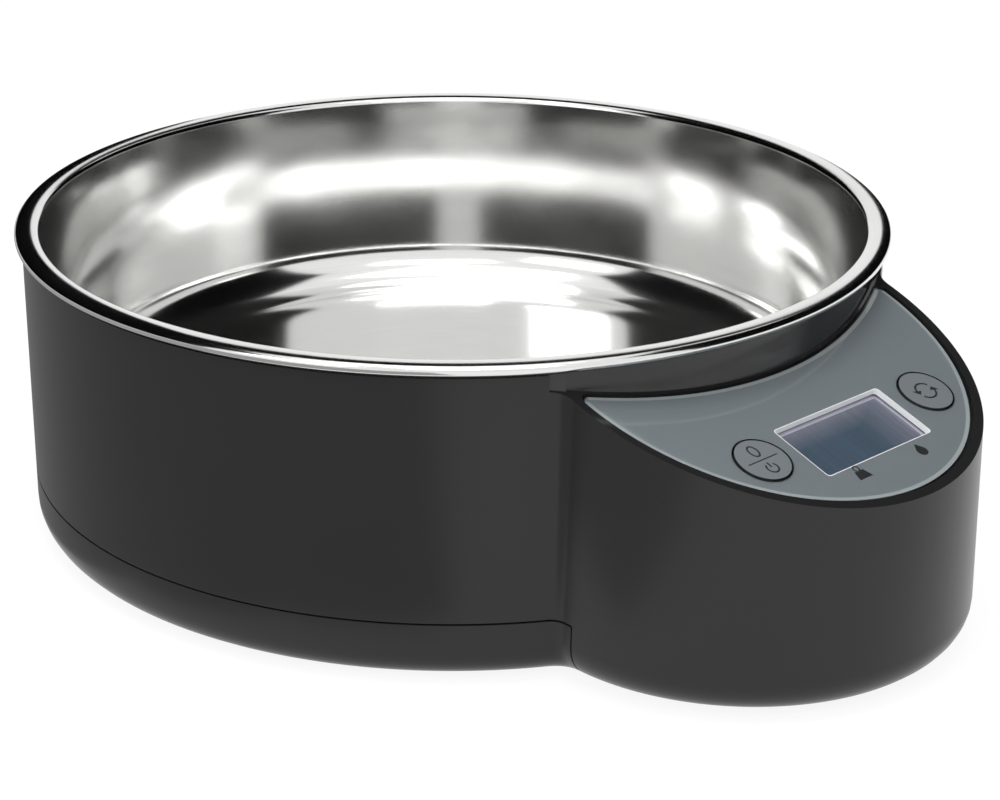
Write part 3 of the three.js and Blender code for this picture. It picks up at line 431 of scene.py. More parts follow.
lens_bottom = lens_sink + 0.4 * mm
film_bottom = lens_bottom + fit + 0.2 * mm
pocket_floor = film_bottom + fit
plate_bottom = pocket_floor + 2 * mm
display_top = pocket_floor + 0.5 * mm + fit
display_bottom = display_top + 2.8 * mm
backlight_top = display_bottom + fit
backlight_bottom = backlight_top + 2.7 * mm
board_top = backlight_bottom + fit
round_steps = 216
notch_steps = 6
console_steps = 108
bottom_steps = 8
ring_steps = 256
floor_steps = 128
band_steps = 360
band_corner_steps = 6
hair = 0.01 * mm
sharp_angle = math.radians(25)
well_radius = body_radius - wall
slope = Matrix.Translation((0, -console_offset, panel_height)) @ Matrix.Rotation(panel_tilt, 4, "X")
slope_flat = slope.inverted()
on_panel = on_body @ slope


def body_plan(main, front, notch):
    """The outline of the body seen from above: the round part and the console, blended in the notches."""
    y = -(console_offset**2 + (main + notch) ** 2 - (front + notch) ** 2) / (2 * console_offset)
    x = math.sqrt((main + notch) ** 2 - y**2)
    main_angle = math.atan2(y, x)
    front_angle = math.atan2(y + console_offset, x)
    return [
        *arc(0, 0, main, main_angle, math.pi - main_angle, round_steps),
        *arc(-x, y, notch, -main_angle, -front_angle, notch_steps),
        *arc(0, -console_offset, front, math.pi - front_angle, 2 * math.pi + front_angle, console_steps),
        *arc(x, y, notch, math.pi + front_angle, math.pi + main_angle, notch_steps),
    ]


def draw_in(rise, radius):
    """How far a rounded bottom edge draws in at a height above the bottom."""
    return radius - math.sqrt(radius**2 - (radius - rise) ** 2) if rise < radius else 0


def raised(name, rings):
    """A closed form through rings of points: a disc is laid out on the first and extruded to each next."""
    select_none()
    bpy.ops.mesh.primitive_circle_add(vertices=len(rings[0]), fill_type="NGON")
    obj = bpy.context.object
    obj.name = name
    for vertex, point in zip(obj.data.vertices, rings[0]):
        vertex.co = point
    bpy.ops.object.mode_set(mode="EDIT")
    bpy.ops.mesh.select_all(action="SELECT")
    for before, after in zip(rings, rings[1:]):
        nearest = kdtree.KDTree(len(before))
        for i, point in enumerate(before):
            nearest.insert(point, i)
        nearest.balance()
        bpy.ops.mesh.extrude_region()
        for vertex in bmesh.from_edit_mesh(obj.data).verts:
            if vertex.select:
                vertex.co = after[nearest.find(vertex.co)[1]]
        bmesh.update_edit_mesh(obj.data)
    bpy.ops.mesh.select_all(action="SELECT")
    bpy.ops.mesh.normals_make_consistent(inside=False)
    bpy.ops.object.mode_set(mode="OBJECT")
    return obj


def body_form(name, inset, bottom, top):
    """The body's outer form, or its inner form when it is drawn in by a wall."""
    front_curve = console_bottom - inset
    main_curve = round_bottom - inset
    rises = [front_curve * (1 - math.cos(math.pi / 2 * i / bottom_steps)) for i in range(bottom_steps + 1)]
    rings = []
    for rise in [*rises, top - bottom]:
        main_inset = inset + draw_in(rise, main_curve)
        front_inset = inset + draw_in(rise, front_curve) + console_draft_share * (bottom + rise)
        plan = body_plan(body_radius - main_inset, console_radius - front_inset,
                         notch_radius + (main_inset + front_inset) / 2)
        rings.append([(x, y, bottom + rise) for x, y in plan])
    return raised(name, rings)


def slab(name, outline, low, high):
    """An outline laid out flat and extruded up."""
    return raised(name, [[(x, y, z) for x, y in outline] for z in (low, high)])


def disc(name, radius, low, high, x=0, y=0, segments=48):
    """A plain round blank or cutter."""
    return slab(name, arc(x, y, radius, 0, 2 * math.pi, segments), low, high)


def block(name, x0, x1, y0, y1, z0, z1):
    """A plain square blank or cutter."""
    return slab(name, [(x0, y0), (x1, y0), (x1, y1), (x0, y1)], z0, z1)


def rounded(half_width, half_height, radius, x=0, y=0, steps=6):
    """Outline of a rectangle with rounded corners."""
    points = []
    for quarter, (side_x, side_y) in enumerate([(1, -1), (1, 1), (-1, 1), (-1, -1)]):
        centre_x = x + side_x * (half_width - radius)
        centre_y = y + side_y * (half_height - radius)
        end = quarter * math.pi / 2
        points += arc(centre_x, centre_y, radius, end - math.pi / 2, end, steps)
        points.append((centre_x + radius * math.cos(end), centre_y + radius * math.sin(end)))
    return points


def combine(obj, tools, operation):
    """Joins or cuts a piece with others by the Boolean modifier; the others are used up."""
    for tool in tools:
        modifier = obj.modifiers.new(operation.lower(), "BOOLEAN")
        modifier.object = tool
        modifier.operation = operation
        modifier.solver = "EXACT"
        pick(obj)
        bpy.ops.object.modifier_apply(modifier=modifier.name)
        bpy.data.objects.remove(tool)
    return obj


def cut_away(obj, *tools):
    return combine(obj, tools, "DIFFERENCE")


def fuse(obj, *tools):
    return combine(obj, tools, "UNION")


def gathered(tools):
    """Several forms that don't touch, as one."""
    pick(tools[0])
    for tool in tools:
        tool.select_set(True)
    bpy.ops.object.join()
    return tools[0]


def laid_on_slope(obj):
    """Lays a form that was made flat on the sloping top."""
    seat(obj, slope)
    return obj


def above_slope(name, depth, outline):
    """An upright prism, bisected along the sloping top so that only what is above it stays."""
    obj = slab(name, outline, 0, far)
    pick(obj)
    bpy.ops.object.mode_set(mode="EDIT")
    bpy.ops.mesh.select_all(action="SELECT")
    bpy.ops.mesh.bisect(plane_co=slope @ Vector((0, 0, -depth)),
                        plane_no=slope.to_3x3() @ Vector((0, 0, -1)), use_fill=True, clear_outer=True)
    bpy.ops.object.mode_set(mode="OBJECT")
    return obj


def bevel_where(obj, wanted, width, segments):
    """Rounds the sharp edges whose two ends lie where the test says, as far as short neighbours allow."""
    pick(obj)
    bpy.ops.object.mode_set(mode="EDIT")
    bpy.ops.mesh.select_mode(type="EDGE")
    bpy.ops.mesh.select_all(action="DESELECT")
    mesh = bmesh.from_edit_mesh(obj.data)
    for edge in mesh.edges:
        edge.select_set(len(edge.link_faces) == 2 and edge.calc_face_angle(0) > sharp_angle
                        and all(wanted(vertex.co) for vertex in edge.verts))
    bmesh.update_edit_mesh(obj.data)
    bpy.ops.mesh.bevel(offset=width, segments=segments, affect="EDGES", clamp_overlap=True)
    bpy.ops.mesh.select_mode(type="VERT")
    bpy.ops.object.mode_set(mode="OBJECT")


def weld(obj, distance=hair):
    """Merges the vertices that cuts leave lying together."""
    pick(obj)
    bpy.ops.object.mode_set(mode="EDIT")
    bpy.ops.mesh.select_all(action="SELECT")
    bpy.ops.mesh.remove_doubles(threshold=distance)
    bpy.ops.mesh.dissolve_degenerate(threshold=distance)
    bpy.ops.object.mode_set(mode="OBJECT")


def ease_edges(obj, width, segments=2, angle=35):
    """Rounds every sharp edge of a simple piece by the Bevel modifier."""
    modifier = obj.modifiers.new("eased", "BEVEL")
    modifier.width = width
    modifier.segments = segments
    modifier.limit_method = "ANGLE"
    modifier.angle_limit = math.radians(angle)
    pick(obj)
    bpy.ops.object.modifier_apply(modifier=modifier.name)


# The panel lies in a pocket of the sloping top; its outline follows the console and the round wall
panel_radius = 51.5 * mm
panel_back_gap = 0.9 * mm
panel_back = body_radius - band_depth + panel_back_gap
panel_tip = 2 * mm
panel_steps = 96
panel_back_steps = 60
panel_tip_steps = 8


def panel_outline(inset):
    """The crescent of the panel on the slope, with rounded tips, drawn in by an inset."""
    tip = max(panel_tip - inset, fit)
    outer = panel_radius - inset
    back = panel_back + inset
    y = -(console_offset**2 + (back + tip) ** 2 - (outer - tip) ** 2) / (2 * console_offset)
    x = math.sqrt((back + tip) ** 2 - y**2)
    tip_angle = math.atan2(y + console_offset, x)
    back_angle = math.atan2(y, x)
    points = [
        *arc(0, -console_offset, outer, math.pi - tip_angle, 2 * math.pi + tip_angle, panel_steps),
        *arc(x, y, tip, tip_angle, math.pi + back_angle, panel_tip_steps),
        *arc(0, 0, back, back_angle, -math.pi - back_angle, panel_back_steps),
        *arc(-x, y, tip, -back_angle, math.pi - tip_angle, panel_tip_steps),
    ]
    return [(px, (py + console_offset) / math.cos(panel_tilt)) for px, py in points]


window_half_width = 18.05 * mm
window_half_height = 8.55 * mm
window_y = -33.8 * mm
window_corner = 1 * mm
holder_wall = 1.8 * mm
holder_half_width = window_half_width + holder_wall
holder_half_height = window_half_height + holder_wall


def round_window(half_width, half_height, corner=window_corner):
    """A rectangle with rounded corners about the middle of the display's window."""
    return rounded(half_width, half_height, corner, 0, window_y)


key_x = 28.3 * mm
key_y = -31.7 * mm
key_radius = 6.45 * mm
key_gap = 0.4 * mm
board_half_width = 33 * mm
board_back = window_y + 16.4 * mm
board_front = window_y - 10.1 * mm
board_screw_side_insets = (3.5 * mm, 7.4 * mm)
board_screw_back_inset = 2.8 * mm
board_screw_front_inset = 2.6 * mm
board_screw_ys = (board_back - board_screw_back_inset, board_front + board_screw_front_inset)
board_screw_places = [(side * (board_half_width - inset), y)
                      for inset, y in zip(board_screw_side_insets, board_screw_ys) for side in (-1, 1)]
board_screw_shank = 1 * mm
board_pillar_radius = 2.2 * mm
hub_half_length = 11 * mm
hub_half_width = 6 * mm
hub_x = 25.5 * mm
hub_corner = 2 * mm
hub_hole_gap = 1.5 * mm
round_boss_orbit = 91 * mm
round_boss_angles = [math.radians(a) for a in (-8, 66, 114, 188)]
console_boss_x = 34.5 * mm
console_boss_y = -115 * mm
boss_top = 6.6 * mm
pillar_radius = 4.2 * mm
pillar_rib = 1.6 * mm
console_pillar_top = 30 * mm
screw_seat = 3.4 * mm
screw_shank = 1.5 * mm
screw_length = 10 * mm
tongue_thickness = 1.2 * mm
tongue_depth = 3 * mm
tongue_side = 40 * mm
round_bosses = [(round_boss_orbit * math.cos(a), round_boss_orbit * math.sin(a)) for a in round_boss_angles]
console_bosses = [(side * console_boss_x, console_boss_y) for side in (-1, 1)]


def band_cutter(half_angle, radius):
    """What is taken off over the console within an angle, down to the set-back wall."""
    wedge = [(0, 0), (-far * math.tan(half_angle), -far), (far * math.tan(half_angle), -far)]
    cutter = above_slope("band", 0, wedge)
    bevel_where(cutter, lambda point: abs((slope_flat @ point).z) < hair and point.y < -far / 100,
                band_corner, band_corner_steps)
    return cut_away(cutter, disc("set_back_wall", radius, -overrun, far, segments=band_steps))


def console_hollow():
    """The room inside the console, under its top plate and outside the round wall."""
    hollow = body_form("hollow", wall, wall, body_height + overrun)
    plate = above_slope("plate", plate_bottom, [(-far, -far), (far, -far), (far, far), (-far, far)])
    return cut_away(hollow, plate, disc("round_part", body_radius, deck_bottom, far, segments=ring_steps))


def housing_pillars():
    """Screw pillars under the deck and in the console, and the tongue that locates the base."""
    ring = disc("tongue", well_radius - fit, seam_height - tongue_depth, deck_bottom + overlap,
                segments=ring_steps)
    cut_away(ring, disc("inside", well_radius - fit - tongue_thickness, -overrun, far, segments=ring_steps),
             block("front", -far, far, -far, -tongue_side, -overrun, far))
    pillars = [disc("pillar", pillar_radius, boss_top, deck_bottom + overlap, x, y) for x, y in round_bosses]
    for x, y in console_bosses:
        pillar = disc("pillar", pillar_radius, boss_top, console_pillar_top, x, y)
        reach = math.hypot(x, y + console_offset)
        rib = block("rib", 0, console_radius - reach - wall / 2, -pillar_rib / 2, pillar_rib / 2,
                    boss_top + overlap, console_pillar_top - overlap)
        seat(rib, Matrix.Translation((x, y, 0)) @ Matrix.Rotation(math.atan2(y + console_offset, x), 4, "Z"))
        pillars.append(fuse(pillar, rib))
    board_pillars = [disc("board_pillar", board_pillar_radius, -board_top + fit, -plate_bottom + overlap,
                          x, y) for x, y in board_screw_places]
    return gathered([ring, *pillars, laid_on_slope(gathered(board_pillars))])


def upper_housing_form():
    """The body with its hollows cut out, its pillars set in and its holes made."""
    form = body_form("upper_housing_moulding", 0, 0, body_height)
    below_seam = block("below_seam", -far, far, -console_offset - seam_gap / 2, far,
                       -overrun, seam_height + seam_gap / 2)
    cut_away(form, band_cutter(band_half_angle, body_radius - band_step),
             band_cutter(step_half_angle, body_radius - band_depth), below_seam,
             disc("well", well_radius, deck_top, far, segments=ring_steps), console_hollow(),
             disc("floor_opening", console_radius - console_bottom, -overrun, wall + fit,
                  y=-console_offset, segments=floor_steps),
             laid_on_slope(slab("pocket", panel_outline(-fit), -pocket_floor, overrun)))
    window = slab("window", round_window(holder_half_width + fit, holder_half_height + fit), -overrun,
                  overlap - pocket_floor)
    keys = [disc("key", key_radius + key_gap, -overrun, overlap - pocket_floor, side * key_x, key_y)
            for side in (-1, 1)]
    fuse(form, housing_pillars())
    screw_holes = [disc("screw_hole", screw_shank + fit, boss_top - overlap, screw_seat + screw_length + fit,
                        x, y) for x, y in [*round_bosses, *console_bosses]]
    board_holes = [disc("board_hole", board_screw_shank + fit, -board_top, -plate_bottom - fit, x, y)
                   for x, y in board_screw_places]
    hub = slab("hub", rounded(hub_half_length + hub_hole_gap, hub_half_width + hub_hole_gap, hub_corner,
                              hub_x), deck_bottom - overlap, deck_top + overlap)
    cut_away(form, gathered([hub, *screw_holes, laid_on_slope(gathered([window, *keys, *board_holes]))]))
    return form


flat_depth = 0.005 * mm
band_edge = 0.2 * mm
seam_edge = 0.15 * mm
edge_steps = 2
gloss_start = -80 * mm


def on_band_end(point):
    """The upright corners where the wall steps back at either end of the band."""
    reach = math.hypot(point.x, point.y)
    heading = math.atan2(abs(point.x), -point.y)
    return (-0.02 * mm < (slope_flat @ point).z and step_half_angle - 0.02 < heading < band_half_angle + 0.02
            and body_radius - band_depth - 0.05 * mm < reach < body_radius + 0.05 * mm)


upper_housing = upper_housing_form()
weld(upper_housing)
bevel_where(upper_housing, on_band_end, band_edge, edge_steps)
bevel_where(upper_housing, lambda point: abs(point.z - seam_height - seam_gap / 2) < 2 * hair, seam_edge,
            edge_steps)
smooth(upper_housing, keep_flats=True)

# The glossy faces are the flat edge of the sloping top and the wall that is set back above it
for face in upper_housing.data.polygons:
    depth = -(slope_flat @ face.center).z
    reach = math.hypot(face.center.x, face.center.y)
    on_flat_edge = abs(depth) < flat_depth
    on_band = depth < 0 and well_radius + fit < reach < body_radius - band_step / 2
    face.material_index = int((on_flat_edge or on_band) and face.center.y < gloss_start)
seat(upper_housing, on_body)

moulded_grain, grain_in, grain_out = new_group("moulded_grain", ["Grain per mm"], ["Grain", "Mottle"])
place = add_node(moulded_grain, "ShaderNodeTexCoord")
grain_scale = add_node(moulded_grain, "ShaderNodeMath", {0: grain_in.outputs["Grain per mm"], 1: 1 / mm},
                       operation="MULTIPLY")
grain = add_node(moulded_grain, "ShaderNodeTexNoise", {"Vector": place.outputs["Object"],
                                                       "Scale": grain_scale.outputs[0], "Detail": 2.0})
mottle = add_node(moulded_grain, "ShaderNodeTexNoise", {"Vector": place.outputs["Object"], "Scale": 18.0,
                                                        "Detail": 4.0, "Roughness": 0.6})
moulded_grain.links.new(grain.outputs["Fac"], grain_out.inputs["Grain"])
moulded_grain.links.new(mottle.outputs["Fac"], grain_out.inputs["Mottle"])


def moulded(name, dark, light, rough, grain_per_mm=2.6, depth=0.006 * mm, **values):
    """A moulded plastic, rubber or coating: slightly uneven in colour and gloss, with a fine grain."""
    material, tree, shader = new_material(name, **values)
    group = add_group(tree, moulded_grain, Grain_per_mm=grain_per_mm)
    shade(tree, shader, group.outputs["Mottle"], dark, light, "Base Color")
    shade(tree, shader, group.outputs["Mottle"], rough[0], rough[1], "Roughness")
    raise_bump(tree, shader, group.outputs["Grain"], depth, strength=0.6)
    return material


def dress(obj, materials, body, node):
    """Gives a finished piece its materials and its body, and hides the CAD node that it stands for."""
    for material in materials:
        obj.data.materials.append(material)
    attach(obj, body)
    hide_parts(node)


satin = moulded("satin_anthracite", (0.0150, 0.0150, 0.0155), (0.0182, 0.0182, 0.0186), (0.27, 0.32),
                Specular_IOR_Level=0.3)
gloss = moulded("glossy_anthracite", (0.0130, 0.0130, 0.0136), (0.0155, 0.0155, 0.0160), (0.10, 0.14),
                depth=0.001 * mm, Specular_IOR_Level=0.5)
dress(upper_housing, [satin, gloss], "housing", "upper_housing")


# Base tray: the same plastic, screwed on from below. It is the floor and the low wall up to the seam;
# the battery box, the seats for the screws and the load cell, and the recesses for the feet are moulded in.
cell_x = 37.5 * mm
cell_half_width = 6 * mm
cell_bottom = 4.6 * mm
cell_seat_end = -14.5 * mm
cell_screw_xs = (-31.5 * mm, -19.5 * mm)
cell_screw_seat = 2.3 * mm
cell_screw_head = 3.4 * mm
cell_screw_shank = 1.9 * mm
boss_radius = 5 * mm
screw_head = 3 * mm
box_half_length = 26 * mm
box_centre = -112 * mm
box_half_width = 11.35 * mm
box_wall = 1.6 * mm
box_inner_top = 13.2 * mm
door_half_length = 26.9 * mm
door_back = -99.75 * mm
door_front = -124.25 * mm
door_thickness = 2 * mm
door_ledge = 0.2 * mm
hinge_tab_x = 15 * mm
hinge_tab_half = 4 * mm
hinge_tab_reach = 1.5 * mm
hinge_tab_bottom = 1.1 * mm
hinge_pocket_rise = 1.1 * mm
hinge_lap = 1.2 * mm
contact_face = 25.2 * mm
contact_thickness = 0.5 * mm
tag_half = 1 * mm
cell_rows = (-117.8 * mm, -106.2 * mm)
foot_radius = 6.5 * mm
foot_recess = 0.8 * mm
foot_orbit = 86 * mm
foot_angles = [math.radians(a) for a in (40, 140)]
front_foot_x = 37 * mm
front_foot_y = -100 * mm
feet = [(foot_orbit * math.cos(a), foot_orbit * math.sin(a)) for a in foot_angles]
feet += [(side * front_foot_x, front_foot_y) for side in (-1, 1)]
all_bosses = [*round_bosses, *console_bosses]
base_edge = 0.2 * mm


def base_tray_form():
    """The low part of the body with its inside, its front and all its holes and recesses cut."""
    form = body_form("base_tray_moulding", 0, 0, body_height)
    front = block("front", -far, far, -far, -console_offset + seam_gap / 2, -overrun, far)
    cut_away(front, disc("floor", console_radius - console_bottom - seam_gap, -overrun - overlap,
                         wall + overlap, y=-console_offset, segments=floor_steps))
    cut_away(form, body_form("inside", wall, wall, body_height + overrun),
             block("above", -far, far, -far, far, seam_height - seam_gap / 2, far), front)
    seats = [disc("boss", boss_radius, wall / 2, boss_top, x, y) for x, y in all_bosses]
    seats.append(block("cell_seat", -cell_x, cell_seat_end, -cell_half_width, cell_half_width, wall / 2,
                       cell_bottom))
    seats.append(block("battery_box", -box_half_length - box_wall, box_half_length + box_wall,
                       box_centre - box_half_width - box_wall, box_centre + box_half_width + box_wall,
                       wall / 2, box_top))
    fuse(form, gathered(seats))
    inside = block("battery_room", -box_half_length, box_half_length, box_centre - box_half_width,
                   box_centre + box_half_width, -overrun, box_inner_top)
    holes = [disc("screw_hole", screw_shank + fit, -overrun, overrun, x, y) for x, y in all_bosses]
    holes += [disc("cell_screw_hole", cell_screw_shank + fit, -overrun, overrun, x) for x in cell_screw_xs]
    recesses = [disc("foot", foot_radius + fit, -overrun, foot_recess, x, y) for x, y in feet]
    cut_away(form, gathered([inside, *holes, *recesses]))
    door = block("door", -door_half_length - fit, door_half_length + fit, door_front - fit, door_back + fit,
                 -overrun, door_thickness + door_ledge)
    heads = [disc("head", screw_head + fit, -overrun, screw_seat, x, y) for x, y in all_bosses]
    heads += [disc("cell_head", cell_screw_head + fit, -overrun, cell_screw_seat, x) for x in cell_screw_xs]
    cut_away(form, gathered([door, *heads]))
    pockets = [block("hinge", x - hinge_tab_half - fit, x + hinge_tab_half + fit, door_back - hinge_lap,
                     door_back + hinge_tab_reach + fit, hinge_tab_bottom - fit,
                     door_thickness + hinge_pocket_rise) for x in (-hinge_tab_x, hinge_tab_x)]
    slots = [block("tag", contact_face - fit, contact_face + contact_thickness + fit, y - tag_half - fit,
                   y + tag_half + fit, box_inner_top - fit, box_top + overrun) for y in cell_rows]
    cut_away(form, gathered([*pockets, *slots]))
    return form


base_tray = base_tray_form()
weld(base_tray)
bevel_where(base_tray, lambda point: abs(point.z - seam_height + seam_gap / 2) < 2 * hair, seam_edge,
            edge_steps)
bevel_where(base_tray, lambda point: abs(point.z) < 2 * hair, base_edge, edge_steps)
smooth(base_tray, keep_flats=True)
seat(base_tray, on_body)
dress(base_tray, [satin], "housing", "base_tray")


# Printed film: polyester sheet glued under the lens, printed silver grey, with holes for the window and the
# keys, and a lighter line along its edge that is a painted highlight, for the light the lens's edge catches.
# Two signs are printed on it in black: a weight and a drop, for the two things the bowl can weigh.
lens_glue = 0.04 * mm
film_top = lens_bottom + lens_glue
film_thickness = 0.2 * mm
film_inset = 0.4 * mm
film_highlight_width = 0.9 * mm
film_highlight_share = 0.7
key_hole_segments = 96
print_height = 0.02 * mm
sign_pen = 0.4 * mm
sign_x = 10 * mm
sign_y = -45.2 * mm


def stroke(points, width):
    """The outline of a line drawn with a pen of a width through the points."""
    left, right = [], []
    for i, point in enumerate(points):
        along = Vector(points[min(i + 1, len(points) - 1)]) - Vector(points[max(i - 1, 0)])
        along.normalize()
        side = Vector((-along.y, along.x)) * width / 2
        left.append(tuple(Vector(point) + side))
        right.append(tuple(Vector(point) - side))
    return right + left[::-1]


def printed(name, outlines, depth):
    """Printed shapes, a thin layer of ink on the face at a depth below the sloping top."""
    layer = gathered([slab(name, outline, -depth, -depth + print_height) for outline in outlines])
    layer.name = name
    return layer


def weight_sign(x, y):
    """A kitchen weight: a block that narrows upwards, with a ring on top."""
    foot, top, height, ring = 2.1 * mm, 1.4 * mm, 2.5 * mm, 0.75 * mm
    base = y - height / 2
    body = [(x - foot, base), (x + foot, base), (x + top, base + height), (x - top, base + height)]
    handle = stroke(arc(x, base + height + ring, ring, -0.4 * math.pi, 1.41 * math.pi, 24), sign_pen)
    return [body, handle]


def drop_sign(x, y):
    """A drop of water: a round bottom that runs up to a point."""
    radius, height = 1.45 * mm, 3.9 * mm
    lean = math.asin(radius / (height - radius))
    bottom = arc(x, y - radius / 2, radius, math.pi - lean, 2 * math.pi + lean, 28)
    return [[*bottom, (x, y - radius * 3 / 2 + height)]]


def in_key_hole(face):
    """Whether a face, still lying flat, is part of the wall of one of the two key holes."""
    reach = min(math.hypot(face.center.x - side * key_x, face.center.y - key_y) for side in (-1, 1))
    return abs(reach - key_radius - key_gap) < 10 * hair and abs(face.normal.z) < 0.5


film = raised("printed_film", [
    [(x, y, z) for x, y in panel_outline(inset)]
    for inset, z in ((film_inset, -film_top - film_thickness), (film_inset, -film_top),
                     (film_inset + film_highlight_width, -film_top), (2 * film_highlight_width, -film_top))
])
film_window = slab("window", round_window(window_half_width, window_half_height), -overrun, overrun)
film_holes = [disc("key", key_radius + key_gap, -overrun, overrun, side * key_x, key_y,
                   segments=key_hole_segments) for side in (-1, 1)]
cut_away(film, gathered([film_window, *film_holes]))

# The lighter line, a painted highlight, follows the edge of the film; the walls of its key holes are black,
# painted shade for the gap round each key
for face in film.data.polygons:
    level_y = face.center.y * math.cos(panel_tilt)
    edge_distance = panel_radius - math.hypot(face.center.x, level_y)
    back_distance = math.hypot(face.center.x, level_y - console_offset) - panel_back
    highlight_end = film_inset + film_highlight_width * film_highlight_share
    face.material_index = 2 if in_key_hole(face) else int(min(edge_distance, back_distance) < highlight_end)
seat(film, on_panel)


def silver_print(name, dark, light, **values):
    """Silver grey ink: fine metal flakes in a grey base."""
    material, tree, shader = new_material(name, Roughness=0.42, **values)
    sparkle = add_group(tree, moulded_grain, Grain_per_mm=7.0)
    shade(tree, shader, sparkle.outputs["Grain"], dark, light, "Base Color")
    shade(tree, shader, sparkle.outputs["Grain"], 0.05, 0.30, "Metallic")
    return material


silver_dark = (0.136, 0.156, 0.169)
silver_light = (0.198, 0.220, 0.234)
film_silver = silver_print("silver_grey_print", silver_dark, silver_light)
# The lighter silver of the line along the film's edge is a painted highlight
painted_highlight_silver = silver_print("painted_highlight_line", (0.27, 0.30, 0.31), (0.36, 0.39, 0.40))
# The black ink prints the signs, and on the walls of the key holes it is painted shade for the gap round
# each key
ink = moulded("black_ink_and_gap_shade", (0.010, 0.010, 0.011), (0.014, 0.014, 0.015), (0.45, 0.55), depth=0.0)
dress(film, [film_silver, painted_highlight_silver, ink], "housing", "panel_print_film")

signs = printed("weight_and_drop_signs", [*weight_sign(-sign_x, sign_y), *drop_sign(sign_x, sign_y)],
                film_top)
seat(signs, on_panel)
signs.data.materials.append(ink)
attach(signs, "housing")


# Panel lens: clear hard-coated plastic, cut to the crescent and glued over the film. Its edge is cut steep
# and then runs up in a wide, very shallow chamfer, so that two fine lines follow the outline. The walls of
# its key holes, like those of the film, take the black ink as painted shade, so that the gap round each key
# reads dark.
lens_edge_rise = 0.12 * mm
lens_steep_width = 0.12 * mm
lens_steep_rise = 0.12 * mm
lens_chamfer_width = 1.3 * mm
lens_crease_width = 0.15 * mm
lens_crease_drop = 0.02 * mm

lens = raised("clear_panel_lens", [
    [(x, y, z) for x, y in panel_outline(inset)]
    for inset, z in (
        (0, -lens_bottom), (0, -lens_bottom + lens_edge_rise),
        (lens_steep_width, -lens_bottom + lens_edge_rise + lens_steep_rise),
        (lens_chamfer_width, -lens_sink - lens_crease_drop),
        (lens_chamfer_width + lens_crease_width, -lens_sink))
])
cut_away(lens, gathered([disc("key", key_radius + key_gap, -overrun, overrun, side * key_x, key_y,
                              segments=key_hole_segments) for side in (-1, 1)]))
# The walls of the key holes take the black ink: painted shade for the gap round each key
for face in lens.data.polygons:
    face.material_index = int(in_key_hole(face))
smooth(lens, 3)
seat(lens, on_panel)

acrylic = bpy.data.materials.new("clear_acrylic")
acrylic.use_nodes = True
tree = acrylic.node_tree
tree.nodes.clear()
haze = add_group(tree, moulded_grain, Grain_per_mm=0.4)
clear = add_node(tree, "ShaderNodeBsdfTransparent", {"Color": (0.995, 1, 1, 1)})
mirror = add_node(tree, "ShaderNodeBsdfAnisotropic", {"Color": (1, 1, 1, 1)})
shade(tree, mirror, haze.outputs["Mottle"], 0.05, 0.11, "Roughness")
edge_on = add_node(tree, "ShaderNodeFresnel", {"IOR": 1.49})
rays = add_node(tree, "ShaderNodeLightPath")
side = add_node(tree, "ShaderNodeNewGeometry")
unseen = add_node(tree, "ShaderNodeMath", {0: rays.outputs["Is Shadow Ray"], 1: side.outputs["Backfacing"]},
                  operation="MAXIMUM")
lit = add_node(tree, "ShaderNodeMath", {0: 1.0, 1: unseen.outputs[0]}, operation="SUBTRACT")
mirror_share = add_node(tree, "ShaderNodeMath", {0: edge_on.outputs[0], 1: lit.outputs[0]},
                        operation="MULTIPLY")
both = add_node(tree, "ShaderNodeMixShader", {0: mirror_share.outputs[0], 1: clear.outputs[0],
                                              2: mirror.outputs[0]})
add_node(tree, "ShaderNodeOutputMaterial", {"Surface": both.outputs[0]})
dress(lens, [acrylic, ink], "housing", "panel_lens")


# Keys: round black caps, level with the lens, with the film's silver grey printed and lacquered on their
# faces. Each has a flange that holds it under the top plate and a stem that presses a switch.
key_flange_top = plate_bottom + fit
key_flange_bottom = key_flange_top + 0.7 * mm
key_flange_radius = key_radius + key_gap + 0.5 * mm
key_stem_bottom = key_flange_bottom + 0.5 * mm
key_stem_radius = 2.2 * mm
key_edge = 0.08 * mm
key_segments = 96
pen = 0.42 * mm


def zero_and_power_signs(x, y):
    """A nought over a line, and the power sign under it: one press zeroes, a long one switches."""
    nought_x, nought_y, nought_rise, line_half = 1.15 * mm, 1.65 * mm, 2.9 * mm, 4.6 * mm
    nought = [(x + nought_x * math.cos(a), y + nought_rise + nought_y * math.sin(a))
              for a in [math.pi / 2 + 1.999 * math.pi * i / 40 for i in range(41)]]
    ring, ring_drop, opening = 1.45 * mm, 2.9 * mm, 0.2 * math.pi
    power = arc(x, y - ring_drop, ring, math.pi / 2 + opening, 5 * math.pi / 2 - opening, 30)
    bar = [(x, y - ring_drop + ring * 0.15), (x, y - ring_drop + ring * 1.25)]
    line = [(x - line_half, y), (x + line_half, y)]
    return [stroke(nought, pen), stroke(power, pen), stroke(bar, pen), stroke(line, pen * 0.7)]


def mode_sign(x, y):
    """Two arrows that chase each other round a ring."""
    ring, head, gap = 2.5 * mm, 1.25 * mm, 0.55
    outlines = []
    for start in (0, math.pi):
        outlines.append(stroke(arc(x, y, ring, start + gap, start + math.pi - 0.12, 26), pen * 1.15))
        tip = start + math.pi + 0.12
        base = start + math.pi - 0.30
        outlines.append([(x + r * math.cos(a), y + r * math.sin(a))
                         for r, a in ((ring - head, base), (ring + head, base), (ring, tip + 0.12))])
    return outlines


